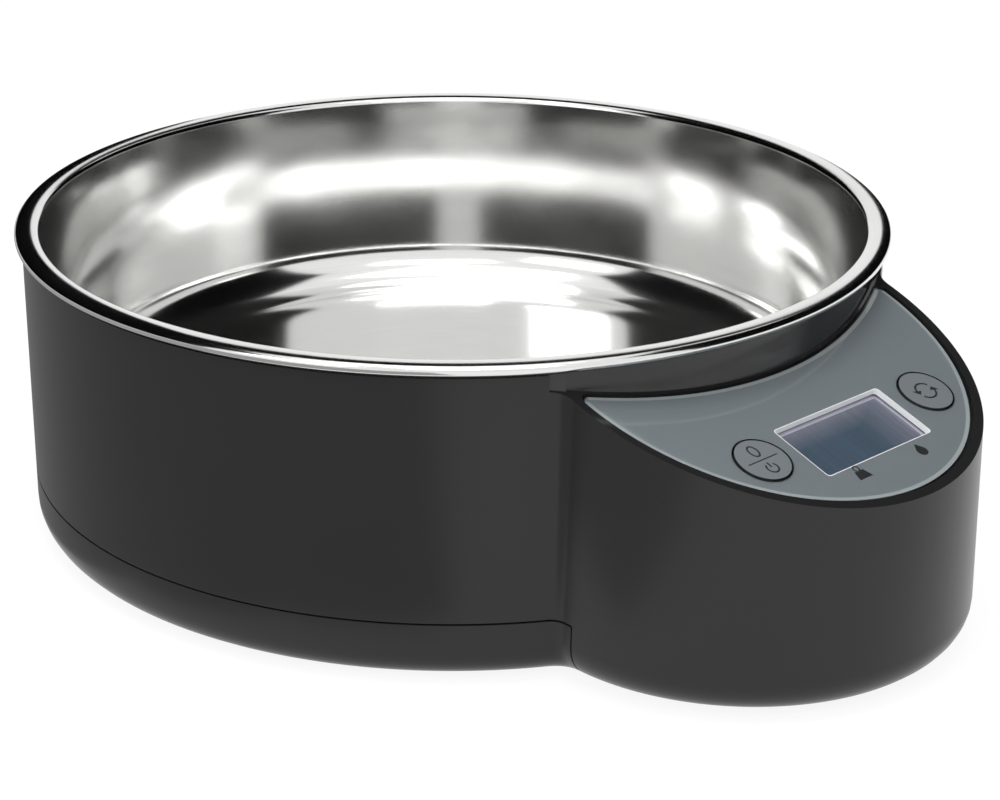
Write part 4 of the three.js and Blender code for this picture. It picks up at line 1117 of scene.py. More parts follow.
key_profile = [
    (0, -key_stem_bottom), (key_stem_radius, -key_stem_bottom), (key_stem_radius, -key_flange_bottom),
    (key_flange_radius, -key_flange_bottom), (key_flange_radius, -key_flange_top),
    (key_radius, -key_flange_top), (key_radius, -lens_sink), (0, -lens_sink),
]
key_silver = silver_print("key_silver_print", silver_dark, silver_light, Coat_Weight=1.0,
                          Coat_Roughness=0.08)
key_black = moulded("key_black", (0.008, 0.008, 0.009), (0.011, 0.011, 0.012), (0.45, 0.55))
for key_name, side, sign in (("tare_key", -1, zero_and_power_signs), ("mode_key", 1, mode_sign)):
    key = turned(key_name + "_cap", key_profile, key_segments)
    ease_edges(key, key_edge, 1)
    for face in key.data.polygons:
        face.material_index = int(face.center.z > -lens_sink - key_edge / 4 and face.normal.z > 0.9)
    smooth(key, 20)
    seat(key, on_panel @ Matrix.Translation((side * key_x, key_y, 0)))
    dress(key, [key_black, key_silver], key_name, key_name)
    print_layer = printed(key_name + "_sign", sign(side * key_x, key_y), lens_sink)
    seat(print_layer, on_panel)
    print_layer.data.materials.append(ink)
    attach(print_layer, key_name)


# Display: a liquid crystal glass, switched off, in a white moulded tray whose rim lines the window.
# The glass is two plates with a polariser glued on top, which stops short of the glass's edge; that bare
# edge is light lilac, partly the bare glass's own tone and partly a painted reflection of the white tray. A
# backlight lies under it.
display_lap = 0.7 * mm
plate_joint = display_top + 1.4 * mm
polariser_inset = 2.1 * mm
polariser_thickness = 0.2 * mm
bead_gap = 0.03 * mm
bead_width = 0.15 * mm
bezel_width = 0.2 * mm
wing_width = 2 * mm
wing_thickness = 1.2 * mm
zebra_width = 2.2 * mm
zebra_end_gap = 2 * mm
display_half_width = window_half_width + display_lap
display_half_height = window_half_height + display_lap
display_corner = window_corner / 2
bead_bottom = display_top - fit / 3
bead_inset = bead_gap + bead_width
glue_gap = 0.02 * mm
glass_edge = 0.1 * mm
backlight_edge = 0.2 * mm
zebra_edge = 0.15 * mm

holder = slab("display_holder_tray", round_window(holder_half_width, holder_half_height),
              -backlight_bottom, -pocket_floor)
fuse(holder, slab("wings", round_window(holder_half_width, holder_half_height + wing_width),
                  -plate_bottom - fit - wing_thickness, -plate_bottom - fit))
cut_away(holder, slab("window", round_window(window_half_width, window_half_height), -overrun, overrun))
fuse(holder,
     slab("bead", round_window(window_half_width + overlap, window_half_height + overlap), -bead_bottom,
          -pocket_floor),
     slab("bead", round_window(window_half_width - bead_gap, window_half_height - bead_gap), -bead_bottom,
          -film_top))
bezel = raised("bezel", [
    [(x, y, z) for x, y in round_window(window_half_width - inset, window_half_height - inset)]
    for inset, z in ((bead_inset + bezel_width, -overrun), (bead_inset + bezel_width, -bead_bottom),
                     (bead_inset, -film_top), (bead_inset, overrun))
])
glass_room = slab("room", round_window(display_half_width + fit, display_half_height + fit, display_corner),
                  -overrun, -display_top + fit)
cut_away(holder, bezel, glass_room)
weld(holder)
smooth(holder)
seat(holder, on_panel)
white_plastic = moulded("white_plastic", (0.88, 0.885, 0.89), (0.92, 0.92, 0.925), (0.38, 0.48))
dress(holder, [white_plastic], "housing", "display_holder")

glass = slab("display_lower_plate", round_window(display_half_width, display_half_height, display_corner),
             -display_bottom, -plate_joint)
upper_plate_top = display_top + polariser_thickness
upper_plate = slab("display_upper_plate",
                   round_window(display_half_width, display_half_height, display_corner),
                   -plate_joint + glue_gap, -upper_plate_top)
polariser = slab("display_polariser",
                 round_window(display_half_width - polariser_inset, display_half_height - polariser_inset,
                              display_corner), -upper_plate_top + glue_gap, -display_top)
glass = gathered([glass, upper_plate])
ease_edges(glass, glass_edge, 1)
glass = gathered([glass, polariser])
for face in glass.data.polygons:
    face.material_index = int(face.center.z > -upper_plate_top + hair and face.normal.z > 0.9)
seat(glass, on_panel)

# The crystal layer is blue grey at rest; towards the back and right edges a painted reflection of the white
# tray turns it lilac
crystal, crystal_tree, crystal_shader = new_material("resting_crystal_painted_reflection", Roughness=0.16,
                                                     Specular_IOR_Level=0.35)
place = add_node(crystal_tree, "ShaderNodeTexCoord")
parts = add_node(crystal_tree, "ShaderNodeSeparateXYZ", {0: place.outputs["Object"]})
window_middle = on_panel @ Vector((0, window_y, -display_top))
painted_reflection_right_shares = (0.30, 0.98)
painted_reflection_back_shares = (0.15, 0.85)
streak_stretch = (1.0, 0.02, 0.02)
streak_share = 0.14
painted_reflection_right = add_node(crystal_tree, "ShaderNodeMapRange", {
    "Value": parts.outputs["X"], "From Min": window_half_width * painted_reflection_right_shares[0],
    "From Max": window_half_width * painted_reflection_right_shares[1]})
painted_reflection_back = add_node(crystal_tree, "ShaderNodeMapRange", {
    "Value": parts.outputs["Y"], "From Min": window_middle.y + window_half_height * painted_reflection_back_shares[0],
    "From Max": window_middle.y + window_half_height * painted_reflection_back_shares[1]})
lilac = add_node(crystal_tree, "ShaderNodeMath", {0: painted_reflection_right.outputs[0], 1: painted_reflection_back.outputs[0]},
                 operation="MAXIMUM")
streak_place = add_node(crystal_tree, "ShaderNodeVectorMath",
                        {0: place.outputs["Object"], 1: streak_stretch}, operation="MULTIPLY")
streaks = add_node(crystal_tree, "ShaderNodeTexNoise", {"Vector": streak_place.outputs[0], "Scale": 1400.0,
                                                        "Detail": 1.0})
crystal_and_reflection = shade(crystal_tree, crystal_shader, lilac.outputs[0], (0.054, 0.078, 0.108), (0.150, 0.152, 0.190),
             None)
streaked = add_node(crystal_tree, "ShaderNodeMix", {0: streak_share}, data_type="RGBA", blend_type="OVERLAY")
crystal_tree.links.new(crystal_and_reflection, streaked.inputs[6])
crystal_tree.links.new(streaks.outputs["Fac"], streaked.inputs[7])
crystal_tree.links.new(streaked.outputs[2], crystal_shader.inputs["Base Color"])
# The bare glass edge's light lilac is partly the bare glass's own tone and partly a painted reflection of
# the tray
bare_edge_and_reflection = moulded("bare_glass_edge_and_reflection", (0.34, 0.335, 0.41), (0.42, 0.415, 0.49), (0.12, 0.18), depth=0.0)
dress(glass, [bare_edge_and_reflection, crystal], "housing", "display_glass")

light_half_height = display_half_height - zebra_width / 2 - fit / 2
light_y = window_y + display_half_height - light_half_height
backlight = block("display_backlight_plate", -display_half_width, display_half_width,
                  light_y - light_half_height, light_y + light_half_height,
                  -backlight_bottom, -backlight_top)
ease_edges(backlight, backlight_edge)
seat(backlight, on_panel)
diffuser = moulded("backlight_diffuser", (0.72, 0.75, 0.79), (0.80, 0.82, 0.85), (0.30, 0.40))
dress(backlight, [diffuser], "housing", "display_backlight")

zebra = block("display_zebra_strip", -display_half_width + zebra_end_gap, display_half_width - zebra_end_gap,
              window_y - display_half_height, window_y - display_half_height + zebra_width,
              -backlight_bottom, -backlight_top)
ease_edges(zebra, zebra_edge)
seat(zebra, on_panel)
soft_rubber = moulded("black_rubber", (0.009, 0.009, 0.009), (0.014, 0.014, 0.014), (0.70, 0.85),
                      grain_per_mm=1.8, depth=0.02 * mm)
dress(zebra, [soft_rubber], "housing", "display_contact_strip")


# Circuit board: green glass-fibre laminate with copper tracks under its lacquer, hung under the display.
# It carries the controller in a flat package with legs, the two key switches and two plug sockets.
board_bottom = board_top + 1.6 * mm
board_chamfer = 4.5 * mm
chip_half = 6 * mm
chip_y = window_y + 2.9 * mm
chip_top = board_bottom + fit
chip_bottom = chip_top + 1.4 * mm
leg_pitch = 1.27 * mm
leg_width = 0.45 * mm
leg_count = 8
leg_reach = 1.1 * mm
leg_thickness = 0.2 * mm
mark_radius = 0.7 * mm
mark_depth = 0.15 * mm
mark_inset = 1.8 * mm
chip_edge = 0.12 * mm
switch_edge = 0.15 * mm
plunger_edge = 0.2 * mm
socket_edge = 0.15 * mm
track_depth = 0.03 * mm
switch_half = 3 * mm
key_travel = 0.4 * mm
plunger_radius = 1.5 * mm
plunger_top = key_stem_bottom + fit
switch_top = plunger_top + 2 * key_travel
switch_bottom = board_top - fit
plunger_bottom = switch_top + 0.8 * mm
socket_y = board_back - 4.5 * mm
socket_half_depth = 2.25 * mm
socket_top = board_bottom + fit
socket_bottom = socket_top + 4.5 * mm
socket_wall = 0.6 * mm
cell_socket_x = -14 * mm
cell_socket_half = 5 * mm
battery_socket_x = 16 * mm
battery_socket_half = 3 * mm
sockets = (("load_cell_socket", cell_socket_x, cell_socket_half, 4),
           ("battery_socket", battery_socket_x, battery_socket_half, 2))
pin_half = 0.3 * mm

board_outline = [
    (-board_half_width, board_back), (-board_half_width, board_front + board_chamfer),
    (-board_half_width + board_chamfer, board_front), (board_half_width - board_chamfer, board_front),
    (board_half_width, board_front + board_chamfer), (board_half_width, board_back),
]
board = slab("circuit_board_laminate", board_outline, -board_bottom, -board_top)
cut_away(board, gathered([disc("hole", board_screw_shank + fit, -overrun, 0, x, y)
                          for x, y in board_screw_places]))
seat(board, on_panel)

lacquer, lacquer_tree, lacquer_shader = new_material("green_solder_lacquer", Roughness=0.35)
place = add_node(lacquer_tree, "ShaderNodeTexCoord")
tracks = add_node(lacquer_tree, "ShaderNodeTexBrick", {
    "Vector": place.outputs["Object"], "Scale": 260.0, "Mortar Size": 0.08, "Mortar Smooth": 0.1,
    "Brick Width": 1.7, "Row Height": 0.35, "Color1": (0.010, 0.085, 0.040, 1),
    "Color2": (0.012, 0.100, 0.048, 1), "Mortar": (0.030, 0.170, 0.080, 1)})
lacquer_tree.links.new(tracks.outputs["Color"], lacquer_shader.inputs["Base Color"])
raise_bump(lacquer_tree, lacquer_shader, tracks.outputs["Fac"], track_depth, strength=0.5)
dress(board, [lacquer], "housing", "main_circuit_board")

chip = block("controller_package", -chip_half, chip_half, chip_y - chip_half, chip_y + chip_half,
             -chip_bottom, -chip_top)
cut_away(chip, disc("first_leg_mark", mark_radius, -chip_bottom - overlap, -chip_bottom + mark_depth,
                    -chip_half + mark_inset, chip_y + chip_half - mark_inset))
ease_edges(chip, chip_edge, 1)
seat(chip, on_panel)
package_black = moulded("package_black", (0.010, 0.010, 0.011), (0.016, 0.016, 0.017), (0.50, 0.62))
dress(chip, [package_black], "housing", "controller_chip")

tinned = moulded("tinned_metal", (0.62, 0.62, 0.61), (0.72, 0.72, 0.71), (0.22, 0.34), grain_per_mm=1.2,
                 depth=0.004 * mm, Metallic=1.0)
legs = []
for quarter in range(4):
    for i in range(leg_count):
        offset = (i - (leg_count - 1) / 2) * leg_pitch
        leg = block("leg", chip_half, chip_half + leg_reach, offset - leg_width / 2, offset + leg_width / 2,
                    -board_bottom - fit - leg_thickness, -board_bottom - 2 * hair)
        seat(leg, Matrix.Translation((0, chip_y, 0)) @ Matrix.Rotation(quarter * math.pi / 2, 4, "Z"))
        legs.append(leg)
chip_legs = gathered(legs)
chip_legs.name = "controller_legs"
seat(chip_legs, on_panel)
chip_legs.data.materials.append(tinned)
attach(chip_legs, "housing")

for switch_name, body, side in (("tare_switch", "tare_key", -1), ("mode_switch", "mode_key", 1)):
    x = side * key_x
    switch = block(switch_name + "_case", x - switch_half, x + switch_half, key_y - switch_half,
                   key_y + switch_half, -switch_bottom, -switch_top)
    cut_away(switch, disc("bore", plunger_radius + fit, -plunger_bottom - key_travel - fit, overrun, x,
                          key_y))
    ease_edges(switch, switch_edge, 1)
    seat(switch, on_panel)
    dress(switch, [package_black], "housing", switch_name)
    plunger = disc(switch_name + "_button", plunger_radius, -plunger_bottom, -plunger_top, x, key_y)
    ease_edges(plunger, plunger_edge)
    smooth(plunger)
    seat(plunger, on_panel)
    dress(plunger, [package_black], body, switch_name + "_plunger")

nylon = moulded("cream_nylon", (0.72, 0.69, 0.60), (0.79, 0.76, 0.68), (0.42, 0.52))
for socket_name, x, half_width, pins in sockets:
    shell = block(socket_name + "_shell", x - half_width, x + half_width, socket_y - socket_half_depth,
                  socket_y + socket_half_depth, -socket_bottom, -socket_top)
    cut_away(shell, block("mouth", x - half_width + socket_wall, x + half_width - socket_wall,
                          socket_y - socket_half_depth + socket_wall,
                          socket_y + socket_half_depth - socket_wall,
                          -socket_bottom - overlap, -socket_top - 2 * socket_wall))
    ease_edges(shell, socket_edge, 1)
    seat(shell, on_panel)
    dress(shell, [nylon], "housing", socket_name)
    pitch = 2 * (half_width - socket_wall) / pins
    pin_xs = [x + (i - (pins - 1) / 2) * pitch for i in range(pins)]
    pin_row = gathered([
        block("pin", pin_x - pin_half, pin_x + pin_half, socket_y - pin_half, socket_y + pin_half,
              -socket_bottom + socket_wall, -socket_top - 2 * socket_wall - 2 * hair) for pin_x in pin_xs])
    pin_row.name = socket_name + "_pins"
    seat(pin_row, on_panel)
    pin_row.data.materials.append(tinned)
    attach(pin_row, "housing")


# Screws: zinc-plated steel with pan heads, a cross recess and a coarse thread that cuts its own way.
# Each size is modelled once, standing on its head, and copied to its places.
zinc = moulded("zinc_plated_steel", (0.50, 0.51, 0.52), (0.62, 0.63, 0.64), (0.24, 0.36), grain_per_mm=1.5,
               depth=0.004 * mm, Metallic=1.0)
head_crown_share = 0.75
shoulder_shares = (0.94, 0.75)
thread_pitch = 0.9 * mm
thread_depth_share = 0.2
thread_crest_share = 0.4
thread_end_share = 0.8
recess_reach_share = 0.55
recess_width_share = 0.13
recess_depth_share = 0.55
second_slot_share = 1.01
screw_segments = 40


def screw_form(name, head_radius, head_height, shank_radius, length):
    """A screw standing on its head, with the head's underside at the origin."""
    root = shank_radius * (1 - thread_depth_share)
    profile = [
        (0, -head_height), (head_radius * head_crown_share, -head_height),
        (head_radius * shoulder_shares[0], -head_height * shoulder_shares[1]),
        (head_radius, -head_height / 2), (head_radius, 0), (root, 0),
    ]
    turns = int((length - shank_radius) / thread_pitch)
    for i in range(turns):
        z = (i + 0.5) * thread_pitch
        profile += [(root, z), (shank_radius, z + thread_pitch * thread_crest_share),
                    (root, z + thread_pitch * thread_end_share)]
    profile += [(root, length - shank_radius), (shank_radius / 2, length), (0, length)]
    screw = turned(name, profile, screw_segments)
    reach = head_radius * recess_reach_share
    half = head_radius * recess_width_share
    depth = head_height * recess_depth_share
    cross = block("cross", -reach, reach, -half, half, -head_height - overlap, -head_height + depth)
    fuse(cross, block("cross", -half, half, -reach, reach, -head_height - overlap * second_slot_share,
                      -head_height + depth * second_slot_share))
    cut_away(screw, cross)
    smooth(screw)
    return screw


def copies(model, places):
    """Copies of a model, each with its own mesh, at places given as name, body and matrix."""
    for name, body, matrix in places:
        new = model.copy()
        new.data = model.data.copy()
        new.name = name + "_threaded"
        bpy.context.collection.objects.link(new)
        seat(new, matrix)
        dress(new, [zinc], body, name)
    bpy.data.objects.remove(model)


def numbered(name, body, points, z, base=on_body, turn=Matrix.Identity(4)):
    """Numbered places for copies, at points on one level."""
    return [(f"{name}_{i + 1}", body, base @ Matrix.Translation((x, y, z)) @ turn)
            for i, (x, y) in enumerate(points)]


platform_top = 20.9 * mm
cell_top = 12.6 * mm
hub_screw_sink = 2.3 * mm
hub_screw_seat = platform_top - hub_screw_sink
screw_head_height = 2.2 * mm
cell_screw_head_height = 2 * mm
cell_screw_grip = 6 * mm
board_screw_head = 2 * mm
board_screw_head_height = 1.2 * mm
board_screw_length = 5 * mm
copies(screw_form("housing_screw", screw_head, screw_head_height, screw_shank, screw_length),
       numbered("housing_screw", "housing", all_bosses, screw_seat))
copies(screw_form("cell_screw", cell_screw_head, cell_screw_head_height, cell_screw_shank,
                  cell_bottom - cell_screw_seat + cell_screw_grip),
       numbered("load_cell_base_screw", "housing", [(x, 0) for x in cell_screw_xs], cell_screw_seat))
copies(screw_form("hub_screw", cell_screw_head, cell_screw_head_height, cell_screw_shank,
                  hub_screw_seat - cell_top + cell_screw_grip),
       numbered("load_cell_hub_screw", "platform", [(-x, 0) for x in cell_screw_xs], hub_screw_seat,
                turn=Matrix.Rotation(math.pi, 4, "X")))
copies(screw_form("board_screw", board_screw_head, board_screw_head_height, board_screw_shank,
                  board_screw_length),
       numbered("board_screw", "housing", board_screw_places, -board_bottom - fit, base=on_panel))


# Load cell: a milled aluminium bar that bends a little under the bowl. Its waist is two bores joined by
# a slot, and the gauges glued over them are sealed under a pad of white compound.
waist_bore = 2.9 * mm
waist_pitch = 13 * mm
waist_slot = 1.2 * mm
coat_height = 0.9 * mm
coat_half_length = 10 * mm
coat_half_width = 4.5 * mm
coat_corner = 2 * mm
coat_edge = 0.5 * mm
cell_edge = 0.25 * mm

load_cell = block("load_cell_bar", -cell_x, cell_x, -cell_half_width, cell_half_width, cell_bottom, cell_top)
middle_z = (cell_bottom + cell_top) / 2
bores = gathered([disc("bore", waist_bore, -far / 10, far / 10, side * waist_pitch / 2, 0)
                  for side in (-1, 1)])
slot_cutter = block("slot", -waist_pitch / 2, waist_pitch / 2, -waist_slot / 2, waist_slot / 2,
                    -far / 11, far / 11)
across_bar = Matrix.Translation((0, 0, middle_z)) @ Matrix.Rotation(math.pi / 2, 4, "X")
for tool in (bores, slot_cutter):
    seat(tool, across_bar)
threaded = gathered([disc("hole", cell_screw_shank + fit, -overrun, overrun + cell_top, x)
                     for x in (*cell_screw_xs, *[-x for x in cell_screw_xs])])
cut_away(load_cell, bores, slot_cutter, threaded)
ease_edges(load_cell, cell_edge)
smooth(load_cell)
seat(load_cell, on_body)
milled = moulded("milled_aluminium", (0.66, 0.67, 0.68), (0.74, 0.75, 0.76), (0.28, 0.40), grain_per_mm=1.0,
                 depth=0.004 * mm, Metallic=1.0)
dress(load_cell, [milled], "housing", "load_cell")

coat = slab("strain_gauge_compound", rounded(coat_half_length, coat_half_width, coat_corner), cell_top,
            cell_top + coat_height)
bevel_where(coat, lambda point: point.z > cell_top + coat_height / 2, coat_edge, segments=4)
smooth(coat)
seat(coat, on_body)
compound = moulded("white_compound", (0.76, 0.77, 0.76), (0.84, 0.84, 0.83), (0.30, 0.45), grain_per_mm=0.6,
                   depth=0.05 * mm)
dress(coat, [compound], "housing", "strain_gauge_coating")


# Weighing platform: a disc of black plastic with ribs below, a hub that is screwed to the load cell and
# a lip that keeps the bowl in the middle. The bowl stands on three rubber pads that are stuck to it.
platform_bottom = 18.4 * mm
lip_inner = 96 * mm
platform_radius = 98.5 * mm
lip_top = 23.7 * mm
rib_half_width = 0.8 * mm
rib_depth = 0.5 * mm
rib_count = 8
pad_radius = 6 * mm
pad_height = 0.8 * mm
pad_orbit = 70 * mm
pad_count = 3
lip_edge = 0.5 * mm
pad_edge = 0.15 * mm

platform = turned("weighing_platform_disc", [
    (0, platform_bottom), (platform_radius, platform_bottom), (platform_radius, lip_top),
    (lip_inner, lip_top), (lip_inner, platform_top), (0, platform_top),
], bowl_segments)
hub_and_ribs = slab("hub", rounded(hub_half_length, hub_half_width, hub_corner, hub_x), cell_top,
                    platform_bottom + overlap)
for i in range(rib_count // 2):
    rib = block("rib", -lip_inner, lip_inner, -rib_half_width, rib_half_width, platform_bottom - rib_depth,
                platform_bottom + rib_depth)
    seat(rib, Matrix.Rotation(math.pi * (i + 0.5) / (rib_count / 2), 4, "Z"))
    fuse(platform, rib)
fuse(platform, hub_and_ribs)
cut_away(platform, gathered([disc("hole", cell_screw_shank + fit, 0, far, -x) for x in cell_screw_xs]),
         gathered([disc("head", cell_screw_head + fit, hub_screw_seat, far, -x) for x in cell_screw_xs]))
weld(platform)
bevel_where(platform, lambda point: point.z > lip_top - 10 * hair, lip_edge, segments=3)
smooth(platform)
seat(platform, on_body)
platform_black = moulded("platform_black", (0.014, 0.014, 0.016), (0.020, 0.020, 0.022), (0.48, 0.60),
                         grain_per_mm=1.6, depth=0.012 * mm)
dress(platform, [platform_black], "platform", "weighing_platform")

for i in range(pad_count):
    angle = math.pi / 2 + 2 * math.pi * i / pad_count
    pad = disc(f"platform_pad_{i + 1}_disc", pad_radius, platform_top, platform_top + pad_height,
               pad_orbit * math.cos(angle), pad_orbit * math.sin(angle))
    ease_edges(pad, pad_edge)
    smooth(pad)
    seat(pad, on_body)
    dress(pad, [soft_rubber], "platform", f"platform_pad_{i + 1}")


# Feet: four discs of black rubber, pressed into recesses under the base, with a rounded tread.
foot_low = -1.0 * mm
foot_edge = 0.5 * mm
for i, (x, y) in enumerate(feet):
    foot = disc(f"rubber_foot_{i + 1}_disc", foot_radius, foot_low, foot_recess, x, y)
    bevel_where(foot, lambda point: point.z < 0, foot_edge, segments=3)
    smooth(foot)
    seat(foot, on_body)
    dress(foot, [soft_rubber], "housing", f"rubber_foot_{i + 1}")


# Battery door: a plate of the housing's plastic under the console. It turns on two tabs at its back
# edge; at its front edge two slits free a springy tongue with three grooves for the finger.
door_tongue = 7 * mm
door_tongue_length = 9 * mm
door_slit_half = 0.5 * mm
grip_depth = 0.4 * mm
grip_half_width = 0.4 * mm
grip_pitch = 2 * mm
grip_count = 3
door_edge = 0.25 * mm

door = block("battery_door_plate", -door_half_length, door_half_length, door_front, door_back,
             0, door_thickness)
bevel_where(door, lambda point: point.z < hair, door_edge, edge_steps)
tabs = gathered([block("tab", x - hinge_tab_half, x + hinge_tab_half, door_back - hinge_lap,
                       door_back + hinge_tab_reach, hinge_tab_bottom, door_thickness - hair)
                 for x in (-hinge_tab_x, hinge_tab_x)])
slits = [block("slit", x - door_slit_half, x + door_slit_half, door_front - overrun,
               door_front + door_tongue_length, -overrun, overrun) for x in (-door_tongue, door_tongue)]
grips = [block("grip", -door_tongue + 4 * door_slit_half, door_tongue - 4 * door_slit_half,
               door_front + (i + 1) * grip_pitch - grip_half_width,
               door_front + (i + 1) * grip_pitch + grip_half_width, -overrun, grip_depth)
         for i in range(grip_count)]
fuse(door, tabs)
cut_away(door, gathered([*slits, *grips]))
weld(door)
smooth(door)
seat(door, on_body)
dress(door, [satin], "battery_door", "battery_door")


# Batteries: two AAA cells side by side, head to tail. Each is a steel can in a printed plastic sleeve
# that is shrunk over its ends, with the button of the plus pole at the top.
cell_radius = 5.25 * mm
cell_length = 44.5 * mm
nub_radius = 1.9 * mm
nub_height = 1.2 * mm
sleeve_thickness = 0.12 * mm
sleeve_lap = 1.2 * mm
plus_band = 9 * mm
cell_height = 7.65 * mm
cell_segments = 64
sleeve_fold = 0.02 * mm
sleeve_end = 0.04 * mm
corner_flat = 0.5 * mm
corner_draw = 0.12 * mm
corner_start = 0.2 * mm
corner_end = 0.6 * mm
nub_moat = 0.3 * mm
nub_foot = 0.4 * mm
nub_edge = 0.25 * mm

sleeve_blue, sleeve_tree, sleeve_shader = new_material("printed_sleeve", Roughness=0.28)
sleeve_grain = add_group(sleeve_tree, moulded_grain, Grain_per_mm=1.5)
shade(sleeve_tree, sleeve_shader, sleeve_grain.outputs["Mottle"], (0.018, 0.085, 0.205),
      (0.028, 0.105, 0.240), "Base Color")
sleeve_band = moulded("sleeve_band", (0.45, 0.46, 0.47), (0.55, 0.56, 0.57), (0.22, 0.30), Metallic=0.8)
cell_shoulder = cell_length - nub_height

for cell_name, y, direction in (("battery_front", cell_rows[0], 1), ("battery_rear", cell_rows[1], -1)):
    can = turned(cell_name + "_cell", [
        (0, 0), (cell_radius - sleeve_lap, 0), (cell_radius - sleeve_lap, sleeve_fold),
        (cell_radius - corner_flat, sleeve_end), (cell_radius - corner_draw, corner_start),
        (cell_radius, corner_end), (cell_radius, cell_shoulder - plus_band),
        (cell_radius, cell_shoulder - corner_end), (cell_radius - corner_draw, cell_shoulder - corner_start),
        (cell_radius - corner_flat, cell_shoulder), (cell_radius - sleeve_lap, cell_shoulder),
        (cell_radius - sleeve_lap - sleeve_thickness, cell_shoulder - nub_moat),
        (nub_radius + nub_foot, cell_shoulder - nub_moat), (nub_radius, cell_shoulder),
        (nub_radius, cell_length - nub_edge), (nub_radius - nub_edge, cell_length), (0, cell_length),
    ], cell_segments)
    for face in can.data.polygons:
        reach = math.hypot(face.center.x, face.center.y)
        in_sleeve = reach > cell_radius - sleeve_lap
        face.material_index = (2 if face.center.z > cell_shoulder - plus_band else 1) if in_sleeve else 0
    smooth(can)
    lying = Matrix.Translation((direction * (contact_face - cell_length), y, cell_height))
    seat(can, on_body @ lying @ Matrix.Rotation(direction * math.pi / 2, 4, "Y"))
    dress(can, [tinned, sleeve_blue, sleeve_band], "housing", cell_name)


# Battery contacts: nickel-plated steel. One plate bridges the cells; two have a tag that a lead is
# soldered to, and a cone spring presses on the flat end of each cell.
contact_half = 4.5 * mm
tag_top = 17.1 * mm
spring_wire = 0.35 * mm
spring_wide = 3.4 * mm
spring_narrow = 2.2 * mm
spring_length = 5.3 * mm
spring_turns = 3.5
spring_steps = 12
eye_low = 1.6 * mm
eye_high = 0.9 * mm
contact_edge = 0.08 * mm


def contact(name, side, y0, y1, tag_y=None):
    """A contact plate at one end of the battery room, with or without a tag that has an eye."""
    inner, outer = side * contact_face, side * (contact_face + contact_thickness)
    x0, x1 = min(inner, outer), max(inner, outer)
    plate = block(name + "_plate", x0, x1, y0, y1, cell_height - contact_half, cell_height + contact_half)
    if tag_y is not None:
        fuse(plate, block("tag", x0, x1, tag_y - tag_half, tag_y + tag_half, cell_height, tag_top))
        cut_away(plate, block("eye", x0 - overlap, x1 + overlap, tag_y - tag_half / 3, tag_y + tag_half / 3,
                              tag_top - eye_low, tag_top - eye_high))
    ease_edges(plate, contact_edge, 1)
    seat(plate, on_body)
    dress(plate, [tinned], "housing", name)


contact("battery_bridge_contact", -1, cell_rows[0] - contact_half, cell_rows[1] + contact_half)
for name, y in (("battery_positive_contact", cell_rows[0]), ("battery_negative_contact", cell_rows[1])):
    contact(name, 1, y - contact_half, y + contact_half, y)


def wire(name, points, radius):
    """A round wire that runs smoothly through points: a Bezier curve, thickened and made a mesh."""
    select_none()
    bpy.ops.curve.primitive_bezier_curve_add()
    obj = bpy.context.object
    obj.name = name
    spline = obj.data.splines[0]
    spline.bezier_points.add(len(points) - 2)
    for knot, point in zip(spline.bezier_points, points):
        knot.co = point
    for knot in spline.bezier_points:
        knot.handle_left_type = knot.handle_right_type = "AUTO"
    obj.data.bevel_depth = radius
    obj.data.bevel_resolution = 4
    obj.data.use_fill_caps = True
    bpy.ops.object.convert(target="MESH")
    smooth(obj, 60)
    return obj


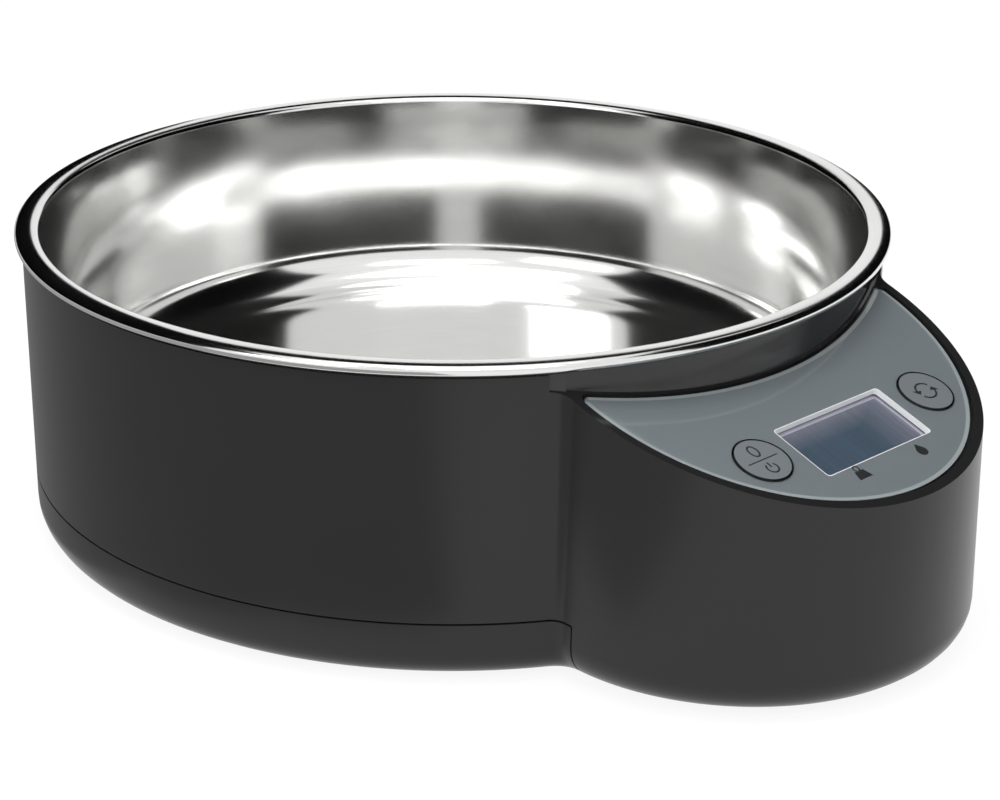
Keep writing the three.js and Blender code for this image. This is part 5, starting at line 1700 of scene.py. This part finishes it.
coil = []
for i in range(int(spring_turns * spring_steps) + 1):
    share = i / (spring_turns * spring_steps)
    radius = spring_wide + (spring_narrow - spring_wide) * share
    angle = 2 * math.pi * spring_turns * share
    coil.append((radius * math.cos(angle), radius * math.sin(angle),
                 spring_wire + (spring_length - 2 * spring_wire) * share))
for cell_name, y, direction in (("battery_front", cell_rows[0], 1), ("battery_rear", cell_rows[1], -1)):
    spring = wire(cell_name + "_coil", coil, spring_wire)
    standing = Matrix.Translation((direction * (fit - contact_face), y, cell_height))
    seat(spring, on_body @ standing @ Matrix.Rotation(direction * math.pi / 2, 4, "Y"))
    dress(spring, [tinned], "housing", cell_name + "_spring")


# Leads: the load cell's round grey lead runs along the floor, round the battery box and up to its socket;
# a red and a black wire rise from the battery tags. Their routes are those of the CAD.
lead_radius = 1.3 * mm
wire_radius = 0.8 * mm
wire_spread = 1.4 * mm
socket_approach = 6 * mm


def into_socket(x):
    """The last points of a lead, square to the board above the socket's mouth."""
    return [slope @ Vector((x, socket_y, -socket_bottom - rise))
            for rise in (socket_approach, socket_approach / 2, fit)]


cell_route = [
    (-10, -6.5, 8.6), (-10, -11, 8.4), (-10, -19, 5.4), (-11, -30, 4.4), (-13, -60, 4.4), (-22, -84, 4.4),
    (-30, -98, 4.6), (-32.3, -106.5, 8), (-31, -109.5, 16), (-26, -110.5, 26), (-18, -109.5, 33),
]
cell_lead = wire("load_cell_round_lead",
                 [Vector(point) * mm for point in cell_route] + into_socket(cell_socket_x), lead_radius)
seat(cell_lead, on_body)
grey_sheath = moulded("grey_sheath", (0.235, 0.240, 0.250), (0.285, 0.290, 0.300), (0.45, 0.55),
                      grain_per_mm=1.4)
dress(cell_lead, [grey_sheath], "housing", "load_cell_lead")

red_sheath = moulded("red_sheath", (0.380, 0.020, 0.015), (0.460, 0.030, 0.022), (0.38, 0.48),
                     grain_per_mm=1.4)
black_sheath = moulded("black_sheath", (0.008, 0.008, 0.008), (0.012, 0.012, 0.012), (0.38, 0.48),
                       grain_per_mm=1.4)
for lead_name, y, offset, bend, sheath, slot in (
        ("battery_lead_red", cell_rows[0], wire_spread, (22.5, -114, 31), red_sheath, "red_wire"),
        ("battery_lead_black", cell_rows[1], -wire_spread, (20, -108.5, 31), black_sheath, "black_wire")):
    tag_middle = contact_face + contact_thickness / 2
    route = [Vector((tag_middle, y, tag_top + fit)), Vector((tag_middle, y, tag_top + socket_approach)),
             Vector(bend) * mm, *into_socket(battery_socket_x + offset)]
    lead = wire(lead_name + "_wire", route, wire_radius)
    seat(lead, on_body)
    dress(lead, [sheath], "housing", lead_name)
